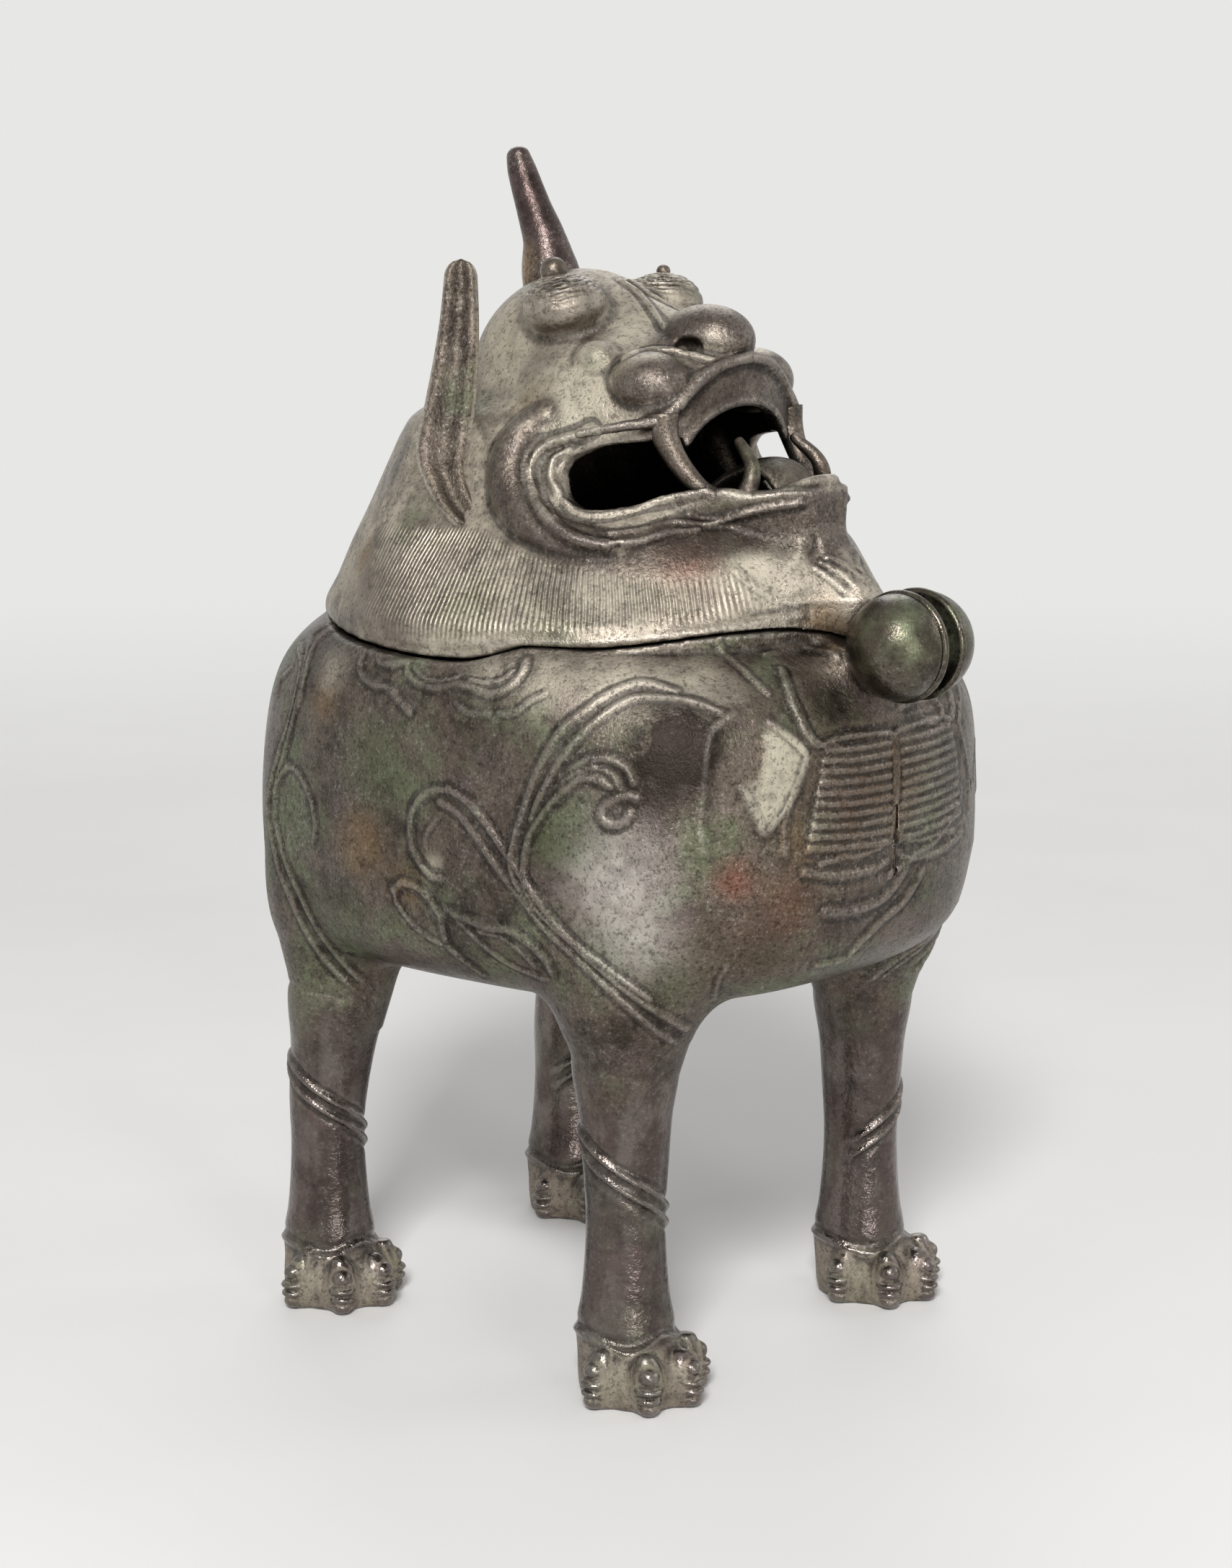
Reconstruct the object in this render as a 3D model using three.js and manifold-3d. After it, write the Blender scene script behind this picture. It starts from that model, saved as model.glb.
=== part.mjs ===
// Lion-shaped incense burner in cast bronze, with a hinged head for a lid.
// Millimetres, +Z up. The animal faces -Y and its left side is +X.
// The origin is on the ground, midway between the four paws.
import * as THREE from 'three';
import { mergeVertices } from 'three/addons/utils/BufferGeometryUtils.js';
import Module from 'manifold-3d';

const wasm = await Module();
wasm.setup();

// Driving dimensions
const FIT_GAP = 0.3; // space left between two pieces that touch
const WALL = 4.5; // casting thickness of bowl and head
const PAW_X = 53.6; // half the distance between left and right paws
const PAW_Y = 58; // half the distance between front and rear paws
const LEG_TOP = 93; // height of the joint between a leg and the body
const RIM_Z = 200; // height of the parting between bowl and head
const HORN_TOP = { y: 33.2, z: 328 };
const TAIL_REACH = 118.8; // as far behind the origin as the bell reaches in front of it

// Body: squared oval sections that are drawn in to the lid's plain oval towards the rim
const MIDDLE = { halfWidth: 80, halfLength: 97, centreY: -3.3, squareness: 2.9 };
const RIM = { halfWidth: 73.3, halfLength: 84, centreY: 1.4, squareness: 2 };
const DRAWN_IN = { from: 155, power: 3.7 };
const BELLY_Z = 97;
const BODY_OUTLINE = [[0.3, BELLY_Z], [0.62, 99.5], [0.8, 103.5], [0.9, 109], [0.965, 118], [1, 135],
  [1, 155], [1, 172], [1, 182], [1, 189], [1, 195], [1, RIM_Z]]; // [part of the section's size, height]
const SHOULDERS = {
  front: { x: 48, y: -58, z: 145, rx: 25, ry: 28, rz: 46 },
  rear: { x: 48, y: 56, z: 142, rx: 22, ry: 23, rz: 45 },
};
const STUBS = { // outlines as [radius, height]
  front: { x: 52, y: -52.5, outline: [[15.2, LEG_TOP], [17.2, 98], [20.6, 107], [22, 116]] },
  rear: { x: 51, y: 57, outline: [[14.8, LEG_TOP], [16, 98], [18, 107], [20, 116]] },
};

// Raised lines of the body as [degrees round from straight ahead, height], on both sides of the animal
const BODY_LINES = {
  shoulderCrest: [[31, 188], [36, 192.3], [42.5, 194], [48, 192.7], [53, 188], [57.5, 182], [61.5, 173],
    [64.5, 163], [65.5, 152], [65, 143], [62, 134], [56, 127], [48, 119], [41, 111]],
  flankFlame: [[57, 131], [63, 140], [69, 149], [75.5, 159], [82, 163], [88.5, 161], [92, 152], [90, 143],
    [84, 140]],
  haunchCrest: [[125, 197], [125.5, 189], [126, 177], [130, 165], [135, 153], [136, 142], [133, 131],
    [128, 121], [127, 110]],
  chestScarf: [[28, 198], [25, 194], [24, 187], [24, 180], [27, 171], [28.5, 162]],
};
const LINE = { radius: 2.1, end: 0.45, swell: 4, tilt: new THREE.Vector3(0.2, 0.3, 1).normalize() };

// Legs: [radius, height] of the shank, how the rear one leans forwards, the paw and its five toes
const SHANK = [[12.5, 6], [13.3, 18], [11.9, 27], [10.9, 39], [10.7, 50], [11.5, 62], [12.5, 76],
  [15, LEG_TOP]];
const SHANK_X = 52.5;
const SHANK_Y = { front: -52, rear: 63 };
const REAR_LEAN = { by: 5.5, from: 52, to: 96 };
const PAW = { z: 8, rx: 17.5, ry: 18, rz: 13 };
const TOE = { angles: [-100, -34, 0, 34, 100], reach: 12.8, z: 6.5, rx: 5.8, ry: 5.8, rz: 8 };

// Head: the collar's outline as [part of the rim's size, height]; it is pinched in beside and above the jaw
const COLLAR_OUTLINE = [[0.995, 205], [0.952, 211.5], [0.9, 221], [0.835, 231.5], [0.766, 243.5],
  [0.715, 252], [0.67, 256.7], [0.58, 260]];
const COLLAR_TOP = 262;
const SIDE_PINCH = { part: 0.14, from: 205, to: 240, rear: 40, front: 0 };
const FRONT_PINCH = { part: 0.28, from: 222, to: 250 };
const SKULL = { y: 9.5, z: 266, rx: 31, ry: 31, rz: 30.5 };
const EYE_DOME = { x: 20.5, y: 1, z: 283, rx: 13, ry: 13, rz: 11.5 };
const NOSE = { y: -36.5, z: 277.5, rx: 12, ry: 15, rz: 9.5 };
const CHEEK = { x: 19, y: -33, z: 268, rx: 9, ry: 12, rz: 8 };
const NECK = { y: -58, z: 212, rx: 27, ry: 29, rz: 17 };

// Muzzle and jaw as stations [y, middle height, half width, reach upwards, reach downwards]
const MUZZLE = [[12, 252, 34, 30, 20], [-4, 252, 39, 34.5, 20], [-14, 252, 39, 33, 20],
  [-24, 251.5, 36.5, 31, 20], [-34, 251, 33, 28.5, 20], [-44, 250.5, 30.5, 24.7, 20],
  [-53, 250, 29, 22, 20]];
const JAW = [[-4, 236, 46, 4, 20], [-25, 236, 43.5, 2, 19], [-37, 236, 37, 2, 18], [-46, 238.5, 31.5, 2, 20],
  [-57, 240.5, 25, 2, 21], [-66.5, 239.5, 18.5, 2, 19], [-74, 241, 11.5, 2, 20], [-77.3, 240, 6.5, 2, 17]];

// Mouth: the opening seen from the side as [y, z], the arch at its front and the rolled lip round it
const MOUTH = [[-12, 243], [-15, 248], [-22, 250.3], [-33, 252.5], [-42.5, 255.5], [-50, 274],
  [-95, 274], [-95, 243], [-78, 243], [-70, 240.5], [-57, 241], [-45, 238.5], [-36, 236.5], [-28, 236],
  [-20, 237.5], [-14, 240]];
const ARCH = { z: 246, halfWidth: 21.5, halfHeight: 18.5, floor: 241, back: -30 };
const LIP_ROLL = [[3, -48.5, 272], [15, -46, 267.5], [24.5, -43.5, 260], [37.5, -33.5, 255],
  [44, -21, 252.5], [46.8, -9, 249], [48.3, -4.5, 240.5], [47.6, -11, 233], [44.3, -23, 228],
  [40, -36, 227]];
const LIP_ROLL_RADII = [2, 2.2, 2.4, 2.6, 3.2, 4.4, 5, 4.6, 4, 2.8];
const LIP_ROLL_TILT = { x: 1, y: 0.3, z: 0.2 };

// Smaller pieces of the head
const HORN_ROUTE = [[0, 18.5, 284], [0, 21.2, 295.5], [0, 23.9, 305.8], [0, 27.5, 315.5],
  [0, HORN_TOP.y, HORN_TOP.z]];
const HORN_RADII = [9.6, 8.1, 6.3, 5, 2.6];
const EAR_ROUTES = {
  right: [[-55, 4.3, 229], [-49, 12.7, 246], [-44, 16.7, 262], [-40, 18.9, 281], [-38, 19.8, 297]],
  left: [[53, 9, 231], [47, 17, 244], [41.5, 25, 258], [37, 31, 271], [35, 35, 283]],
};
const EAR_HALF_WIDTHS = [3.5, 7.4, 7, 5.4, 3.8];
const EAR_HALF_THICKNESS = 3;
const EAR_FACES = { x: 0.657, y: -0.754 }; // direction across the right ear's broad face
const EYE = { x: 21, y: 0.5, z: 290.5, depth: 6, radius: 7.5 };
const EYE_OUTLINE = [[6.6, 2], [4, 3.2], [2, 4], [2.4, 5.2], [1.9, 6.6], [0, 7.4]]; // [radius, height]
const EYE_AIM = { x: 0.22, y: -0.25, z: 0.94 };
const FANG_ROUTE = [[26, -41, 261], [24.7, -45, 252.5], [23.6, -49.5, 246], [23, -53, 240],
  [22.4, -54, 236.5]];
const FANG = { root: 4, tip: 3.2 };
const FRONT_TOOTH_ROUTE = [[17.4, -61.5, 235.5], [14.8, -63, 242.5], [13.8, -61, 247], [12, -56, 252]];
const FRONT_TOOTH = { root: 3, tip: 0.9 };
const TONGUE_ROUTE = [[0, -67.5, 223.8], [0, -67, 236], [0, -59.5, 244.5], [0, -50, 242.5], [0, -40, 236]];
const TONGUE_HALF_WIDTHS = [5, 8, 9, 8, 5.5];
const TONGUE_HALF_THICKNESS = 3.4;

// Tail
const TAIL_ROUTE = [[0, 86, 117], [0, 101, 132], [0, TAIL_REACH - 5.6, 152], [0, 109, 170], [0, 99, 187]];
const TAIL_HALF_WIDTHS = [9.4, 12.6, 13.6, 12.3, 9.6, 6.6, 4.9];
const TAIL_HALF_THICKNESSES = [4.8, 5.4, 5.6, 5.3, 4.5, 3.4, 2.1];

// Hinge: a round bell in two halves, a pin across it and a tongue in the slit between the halves
const BELL = { y: -104, z: 201, radius: 14, halfWidth: 18.5, slit: 5.2, lip: 0.8, lipWidth: 2.4, cap: 4 };
const BELL_NECK = { halfWidth: 10.5, from: BELL.y + 8, to: -80, low: 190.5, high: 198.5 };
const CHEST_SEAT_Y = -82; // the bell's necks end on the chest, ahead of this
const PIN = { radius: 2, halfLength: BELL.halfWidth - BELL.cap - 0.5 };
const KNUCKLE = { radius: 7.5, width: 4.4 };
const ARM_ROUTE = [[0, BELL.y + 1, BELL.z + 1.5], [0, -94, 206.5], [0, -86, 210], [0, -76, 214]];
const ARM = { clear: 0.1, spread: 9, spreadFrom: 0.52, halfHeight: 4, swell: 2 };

const BRONZE = { color: 0x4a352b, roughness: 0.42, metalness: 0.85 };
const WORN_BRONZE = { color: 0x5b4033, roughness: 0.3, metalness: 0.9 };
const PATINATED_BRONZE = { color: 0x55584a, roughness: 0.6, metalness: 0.6 };

const X_AXIS = new THREE.Vector3(1, 0, 0);
const Y_AXIS = new THREE.Vector3(0, 1, 0);
const Z_AXIS = new THREE.Vector3(0, 0, 1);
const BIG = 600; // reaches past the whole object
const SIDES = [['right', -1], ['left', 1]];
const ENDS = [['front', -1], ['rear', 1]];
const { clamp, degToRad, lerp, smoothstep } = THREE.MathUtils;

const object = new THREE.Group();

// A closed three.js geometry as a solid, with its faces turned outwards.
function solid(geometry) {
  const bare = geometry.clone();
  Object.keys(bare.attributes)
    .filter((name) => name !== 'position')
    .forEach((name) => bare.deleteAttribute(name));
  const merged = mergeVertices(bare, 1e-4);
  const place = merged.attributes.position;
  const faces = [];
  let volume = 0;
  const [a, b, c] = [new THREE.Vector3(), new THREE.Vector3(), new THREE.Vector3()];
  for (let i = 0; i < merged.index.count; i += 3) {
    const [p, q, r] = [0, 1, 2].map((k) => merged.index.getX(i + k));
    if (p === q || q === r || r === p) continue;
    faces.push([p, q, r]);
    a.fromBufferAttribute(place, p);
    b.fromBufferAttribute(place, q);
    c.fromBufferAttribute(place, r);
    volume += a.dot(b.cross(c));
  }
  const outward = volume > 0 ? faces : faces.map(([p, q, r]) => [p, r, q]);
  return new wasm.Manifold(new wasm.Mesh({
    numProp: 3,
    vertProperties: new Float32Array(place.array),
    triVerts: new Uint32Array(outward.flat()),
  }));
}

function unite(pieces) {
  return pieces.reduce((whole, piece) => whole.add(piece));
}

// The largest body of a cut solid, without slivers that a cut has freed.
function mainBody(shape) {
  return shape.decompose().reduce((best, piece) => (piece.volume() > best.volume() ? piece : best));
}

// The value at part t of an evenly spaced list.
function along(values, t) {
  const place = clamp(t, 0, 1) * (values.length - 1);
  const i = Math.min(Math.floor(place), values.length - 2);
  return lerp(values[i], values[i + 1], place - i);
}

// Moves every vertex of a geometry by a function of its position.
function reshape(geometry, move) {
  const place = geometry.attributes.position;
  const point = new THREE.Vector3();
  for (let i = 0; i < place.count; i += 1) {
    point.fromBufferAttribute(place, i);
    move(point);
    place.setXYZ(i, point.x, point.y, point.z);
  }
  return geometry;
}

function ellipsoid({ x = 0, y, z, rx, ry, rz }, grow = 0, across = 22, up = 14) {
  const ball = new THREE.SphereGeometry(1, across, up);
  ball.rotateX(Math.PI / 2);
  ball.scale(rx + grow, ry + grow, rz + grow);
  ball.translate(x, y, z);
  return solid(ball);
}

function block(x0, x1, y0, y1, z0, z1) {
  const box = new THREE.BoxGeometry(x1 - x0, y1 - y0, z1 - z0);
  box.translate((x0 + x1) / 2, (y0 + y1) / 2, (z0 + z1) / 2);
  return solid(box);
}

function below(z) {
  return block(-BIG, BIG, -BIG, BIG, -BIG, z);
}

function above(z) {
  return block(-BIG, BIG, -BIG, BIG, z, BIG);
}

// A round rod along X.
function rod(radius, x0, x1, y, z, sides = 20) {
  const bar = new THREE.CylinderGeometry(radius, radius, x1 - x0, sides);
  bar.rotateZ(Math.PI / 2);
  bar.translate((x0 + x1) / 2, y, z);
  return solid(bar);
}

// A turned geometry from [radius, height] pairs, closed on its upright axis.
function turnedGeometry(outline, segments) {
  const rings = [[0, outline[0][1]], ...outline, [0, outline[outline.length - 1][1]]];
  const corners = rings.map(([radius, height]) => new THREE.Vector2(radius, height));
  return new THREE.LatheGeometry(corners, segments).rotateX(Math.PI / 2);
}

function turned(outline, segments, x, y, lean = () => 0) {
  return solid(reshape(turnedGeometry(outline, segments), (point) => {
    point.x += x;
    point.y += y + lean(point.z);
  }));
}

function catmull(points, sx = 1) {
  return new THREE.CatmullRomCurve3(points.map(([x, y, z]) => new THREE.Vector3(sx * x, y, z)));
}

// A bar along a curve whose half width and half depth change along it.
function swept(curve, widthAt, depthAt, across, { sides = 12, steps = 10, grow = 0 } = {}) {
  return solid(reshape(new THREE.CylinderGeometry(1, 1, 1, sides, steps), (point) => {
    const t = clamp(point.y + 0.5, 0, 1);
    const tangent = curve.getTangentAt(t);
    const side = across.clone().projectOnPlane(tangent).normalize();
    const up = new THREE.Vector3().crossVectors(tangent, side);
    const end = (Number(t === 1) - Number(t === 0)) * grow;
    side.multiplyScalar(point.x * (widthAt(t) + grow));
    up.multiplyScalar(point.z * (depthAt(t) + grow));
    point.copy(curve.getPointAt(t)).add(side).add(up).addScaledVector(tangent, end);
  }));
}

// A closed form through stations along Y, each half an oval upwards and half an oval downwards.
function lofted(stations, inset = 0, { openTop = 0, sides = 24 } = {}) {
  const last = stations.length - 1;
  return solid(reshape(new THREE.CylinderGeometry(1, 1, 1, sides, last), (point) => {
    const i = Math.round((0.5 - point.y) * last);
    const [y, z, halfWidth, up, down] = stations[i];
    const reach = point.z > 0 ? up + openTop : down;
    point.set(point.x * (halfWidth - inset), y + (i === last ? inset : 0), z + point.z * (reach - inset));
  }));
}

function addPiece(name, shape, finish) {
  const raw = mainBody(shape).getMesh();
  const geometry = new THREE.BufferGeometry();
  geometry.setAttribute('position', new THREE.BufferAttribute(raw.vertProperties, 3));
  geometry.setIndex(new THREE.BufferAttribute(raw.triVerts, 1));
  geometry.computeVertexNormals();
  const mesh = new THREE.Mesh(geometry, new THREE.MeshStandardMaterial(finish));
  mesh.name = name;
  object.add(mesh);
}

// The level section of the body at a height, drawn in towards the rim.
function sectionAt(z, inset = 0) {
  const drawn = clamp((z - DRAWN_IN.from) / (RIM_Z - DRAWN_IN.from), 0, 1) ** DRAWN_IN.power;
  return {
    halfWidth: lerp(MIDDLE.halfWidth, RIM.halfWidth, drawn) - inset,
    halfLength: lerp(MIDDLE.halfLength, RIM.halfLength, drawn) - inset,
    centreY: lerp(MIDDLE.centreY, RIM.centreY, drawn),
    squareness: lerp(MIDDLE.squareness, RIM.squareness, drawn),
  };
}

// The barrel of the body: a turned shape whose rings are squared, or with an inset the hollow in it.
function barrel(inset, top, segments) {
  const lift = (z) => z + inset * (RIM_Z - z) / (RIM_Z - BELLY_Z);
  const outline = BODY_OUTLINE.map(([part, z]) => [part, lift(z)]);
  return solid(reshape(turnedGeometry([...outline, [1, top]], segments), (point) => {
    const { halfWidth, halfLength, centreY, squareness } = sectionAt(point.z, inset);
    const part = Math.hypot(point.x, point.y) || 1;
    const squared = (value) => Math.sign(value) * part * Math.abs(value / part) ** (2 / squareness);
    point.x = halfWidth * squared(point.x);
    point.y = centreY + halfLength * squared(point.y);
  }));
}

// A point on the outside of the body, straight out from its axis, on the barrel or a shoulder.
function onBody(degrees, z, sx) {
  const [right, ahead] = [Math.sin(degToRad(degrees)), Math.cos(degToRad(degrees))];
  const { halfWidth, halfLength, centreY, squareness } = sectionAt(z);
  const level = BODY_OUTLINE.findIndex(([, height]) => height > z);
  const [[lowPart, low], [highPart, high]] = BODY_OUTLINE.slice(level - 1, level + 1);
  const part = lerp(lowPart, highPart, (z - low) / (high - low));
  const power = (right / halfWidth) ** squareness + (Math.abs(ahead) / halfLength) ** squareness;
  let reach = part / power ** (1 / squareness);
  for (const { x, y, z: middle, rx, ry, rz } of Object.values(SHOULDERS)) {
    const [px, py] = [x / rx, (centreY - y) / ry];
    const [dx, dy] = [right / rx, -ahead / ry];
    const a = dx * dx + dy * dy;
    const b = -px * dx + py * dy;
    const c = px * px + py * py + ((z - middle) / rz) ** 2 - 1;
    const root = b * b - a * c;
    if (root > 0) reach = Math.max(reach, (Math.sqrt(root) - b) / a);
  }
  return new THREE.Vector3(sx * right * reach, centreY - ahead * reach, z);
}

// A raised line of the body's relief, thinner at both ends.
function raisedLine(points, sx) {
  const route = new THREE.CatmullRomCurve3(points.map(([degrees, z]) => onBody(degrees, z, sx)));
  const radius = (t) => LINE.radius * clamp(LINE.end + LINE.swell * Math.min(t, 1 - t), 0, 1);
  return swept(route, radius, radius, LINE.tilt, { sides: 6, steps: 14 });
}

// Body bowl: a barrel with four shoulders, four short stubs over the legs and raised lines, open at the top
function bodyBowl() {
  const parts = [barrel(0, RIM_Z + 1, 44)];
  for (const [, sx] of SIDES) {
    for (const [end] of ENDS) {
      parts.push(ellipsoid({ ...SHOULDERS[end], x: sx * SHOULDERS[end].x }, 0, 18, 10));
      parts.push(turned(STUBS[end].outline, 16, sx * STUBS[end].x, STUBS[end].y));
    }
    Object.values(BODY_LINES).forEach((points) => parts.push(raisedLine(points, sx)));
  }
  return unite(parts)
    .subtract(barrel(WALL, RIM_Z + 2, 32))
    .subtract(below(LEG_TOP + FIT_GAP / 2))
    .subtract(above(RIM_Z - FIT_GAP / 2));
}

// Leg: a turned shank on a broad paw with five toes
function leg(end, sx, sy) {
  const [x, y] = [sx * PAW_X, sy * PAW_Y];
  const lean = (z) => (end === 'rear' ? -REAR_LEAN.by * smoothstep(z, REAR_LEAN.from, REAR_LEAN.to) : 0);
  const toes = TOE.angles.map((degrees) => ellipsoid({
    ...TOE, x: x + TOE.reach * Math.sin(degToRad(degrees)), y: y - TOE.reach * Math.cos(degToRad(degrees)),
  }, 0, 8, 6));
  const shank = turned(SHANK, 16, sx * SHANK_X, SHANK_Y[end], lean);
  return unite([shank, ellipsoid({ ...PAW, x, y }, 0, 16, 8), ...toes])
    .subtract(below(0))
    .subtract(above(LEG_TOP - FIT_GAP / 2));
}

// Tail: a bushy tuft that rises off the rump and leans back to it at its tip
function tail(grow) {
  const width = (t) => along(TAIL_HALF_WIDTHS, t);
  const depth = (t) => along(TAIL_HALF_THICKNESSES, t);
  return swept(catmull(TAIL_ROUTE), width, depth, X_AXIS, { grow });
}

// Bell half: a thick half ball with a raised lip, on a neck that ends at the chest
function bellHalf(sx) {
  const slitFace = BELL.slit / 2;
  const ball = ellipsoid({ y: BELL.y, z: BELL.z, rx: BELL.halfWidth, ry: BELL.radius, rz: BELL.radius });
  const lip = rod(BELL.radius + BELL.lip, slitFace, slitFace + BELL.lipWidth, BELL.y, BELL.z);
  const { halfWidth, from, to, low, high } = BELL_NECK;
  const neck = block(slitFace, halfWidth, from, to, low, high);
  const bore = rod(PIN.radius + FIT_GAP, -BIG, BELL.halfWidth - BELL.cap, BELL.y, BELL.z, 16);
  const half = unite([ball, lip, neck]).intersect(block(slitFace, BIG, -BIG, BIG, -BIG, BIG)).subtract(bore);
  return sx > 0 ? half : half.mirror([1, 0, 0]);
}

// Hinge tongue: a knuckle in the slit and an arm that spreads under the chin
function hingeTongue(grow) {
  const half = KNUCKLE.width / 2 + grow;
  const knuckle = rod(KNUCKLE.radius + grow, -half, half, BELL.y, BELL.z);
  const width = (t) => KNUCKLE.width / 2 - ARM.clear + ARM.spread * smoothstep(t, ARM.spreadFrom, 1);
  const height = (t) => ARM.halfHeight + ARM.swell * t;
  const arm = swept(catmull(ARM_ROUTE), width, height, X_AXIS, { steps: 8, grow });
  return unite([knuckle, arm]).subtract(rod(PIN.radius + FIT_GAP, -BIG, BIG, BELL.y, BELL.z, 16));
}

// Horn: a round horn that leans back and tapers to a blunt tip
function horn(grow) {
  const radius = (t) => along(HORN_RADII, t);
  const shaft = swept(catmull(HORN_ROUTE), radius, radius, X_AXIS, { sides: 18, grow });
  const tip = HORN_RADII[HORN_RADII.length - 1];
  return shaft.add(ellipsoid({ ...HORN_TOP, rx: tip, ry: tip, rz: tip }, grow, 14, 8));
}

// Ears: upright leaves, the left one shorter and swept back
function ear(side, sx, grow) {
  const across = new THREE.Vector3(-sx * EAR_FACES.x, EAR_FACES.y, 0);
  const width = (t) => along(EAR_HALF_WIDTHS, t);
  return swept(catmull(EAR_ROUTES[side]), width, () => EAR_HALF_THICKNESS, across, { grow });
}

// Eye stud: a low cone that carries a round bead
function eyeStud(sx, grow) {
  const root = EYE.radius + grow;
  const outline = [[0, -EYE.depth - grow], [root, -EYE.depth - grow], [root, 0], ...EYE_OUTLINE];
  const shape = new THREE.LatheGeometry(outline.map(([radius, up]) => new THREE.Vector2(radius, up)), 20);
  const aim = new THREE.Vector3(sx * EYE_AIM.x, EYE_AIM.y, EYE_AIM.z).normalize();
  shape.applyQuaternion(new THREE.Quaternion().setFromUnitVectors(Y_AXIS, aim));
  shape.translate(sx * EYE.x, EYE.y, EYE.z);
  return solid(shape);
}

// A tooth, thinner towards its tip
function tooth(route, { root, tip }, sx, options) {
  const radius = (t) => lerp(root, tip, t);
  return swept(catmull(route, sx), radius, radius, X_AXIS, options);
}

// Fang: joins the upper lip to the lower one and parts the side of the mouth from its front
function fang(sx, grow) {
  return tooth(FANG_ROUTE, FANG, sx, { sides: 10, steps: 6, grow });
}

function frontTooth(sx, grow) {
  return tooth(FRONT_TOOTH_ROUTE, FRONT_TOOTH, sx, { sides: 8, steps: 4, grow });
}

function tongue(grow) {
  const width = (t) => along(TONGUE_HALF_WIDTHS, t);
  return swept(catmull(TONGUE_ROUTE), width, () => TONGUE_HALF_THICKNESS, X_AXIS, { steps: 8, grow });
}

// The collar's outer shape, or with an inset the hollow in it
function collar(inset, segments) {
  const outline = [[1, RIM_Z - 2 * inset], ...COLLAR_OUTLINE.map(([part, z]) => [part, z - inset])];
  const shape = turnedGeometry([...outline, [0.1, COLLAR_TOP - inset]], segments);
  return solid(reshape(shape, (point) => {
    const { part, from, to, rear, front } = SIDE_PINCH;
    point.y = point.y * (RIM.halfLength - inset);
    const ahead = smoothstep(rear - point.y, 0, rear - front);
    point.x *= (RIM.halfWidth - inset) * (1 - part * smoothstep(point.z, from, to) * ahead);
    if (point.y < 0) point.y *= 1 - FRONT_PINCH.part * smoothstep(point.z, FRONT_PINCH.from, FRONT_PINCH.to);
    point.y += RIM.centreY;
  }));
}

// The opening of the mouth: through both sides and ahead of the muzzle, and an arch through its front
function mouthCut() {
  const shape = new THREE.Shape(MOUTH.map(([y, z]) => new THREE.Vector2(y, z)));
  const slab = new THREE.ExtrudeGeometry(shape, { depth: 2 * BIG, bevelEnabled: false });
  slab.applyMatrix4(new THREE.Matrix4().makeBasis(Y_AXIS, Z_AXIS, X_AXIS));
  slab.translate(-BIG, 0, 0);
  const arch = new THREE.CylinderGeometry(1, 1, BIG, 24);
  arch.scale(ARCH.halfWidth, 1, ARCH.halfHeight);
  arch.translate(0, ARCH.back - BIG / 2, ARCH.z);
  return solid(slab).add(solid(arch).intersect(above(ARCH.floor)));
}

function lipRoll(sx) {
  const radius = (t) => along(LIP_ROLL_RADII, t);
  const across = new THREE.Vector3(sx * LIP_ROLL_TILT.x, LIP_ROLL_TILT.y, LIP_ROLL_TILT.z);
  return swept(catmull(LIP_ROLL, sx), radius, radius, across, { sides: 8, steps: 20 });
}

// Head shell: collar, skull, muzzle and jaw, hollow, with the mouth cut through
function headShell() {
  const floor = RIM_Z + FIT_GAP / 2;
  const outer = [
    collar(0, 40), ellipsoid(SKULL), lofted(MUZZLE), lofted(JAW), ellipsoid(NECK, 0, 16, 10),
    ellipsoid(NOSE, 0, 16, 10),
  ];
  const hollow = [
    collar(WALL, 32), ellipsoid(SKULL, -WALL, 18, 10), lofted(MUZZLE, WALL, { sides: 20 }),
    lofted(JAW, WALL, { openTop: 2 * WALL, sides: 20 }),
  ];
  const lipRolls = [];
  const attached = [horn(FIT_GAP), hingeTongue(FIT_GAP), tongue(FIT_GAP)];
  for (const [side, sx] of SIDES) {
    outer.push(ellipsoid({ ...EYE_DOME, x: sx * EYE_DOME.x }, 0, 16, 10));
    outer.push(ellipsoid({ ...CHEEK, x: sx * CHEEK.x }, 0, 12, 8));
    lipRolls.push(lipRoll(sx));
    attached.push(ear(side, sx, FIT_GAP), eyeStud(sx, FIT_GAP), fang(sx, FIT_GAP), frontTooth(sx, FIT_GAP));
  }
  const shell = unite(outer).subtract(unite(hollow)).subtract(mouthCut());
  return unite([shell, ...lipRolls]).subtract(unite(attached)).subtract(below(floor));
}

const bowl = bodyBowl();
addPiece('body_bowl', bowl.subtract(tail(FIT_GAP)), PATINATED_BRONZE);
addPiece('tail', tail(0), BRONZE);
for (const [end, sy] of ENDS) {
  for (const [side, sx] of SIDES) {
    addPiece(`leg_${end}_${side}`, leg(end, sx, sy), WORN_BRONZE);
  }
}
const chestSeat = bowl.add(block(-BIG, BIG, CHEST_SEAT_Y, BIG, -BIG, RIM_Z)).translate([0, -FIT_GAP, 0]);
for (const [side, sx] of SIDES) {
  addPiece(`bell_half_${side}`, bellHalf(sx).subtract(chestSeat), WORN_BRONZE);
}
addPiece('hinge_pin', rod(PIN.radius, -PIN.halfLength, PIN.halfLength, BELL.y, BELL.z, 16), WORN_BRONZE);
addPiece('hinge_tongue', hingeTongue(0), BRONZE);
addPiece('head_shell', headShell(), BRONZE);
addPiece('horn', horn(0), WORN_BRONZE);
addPiece('tongue', tongue(0), BRONZE);
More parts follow.
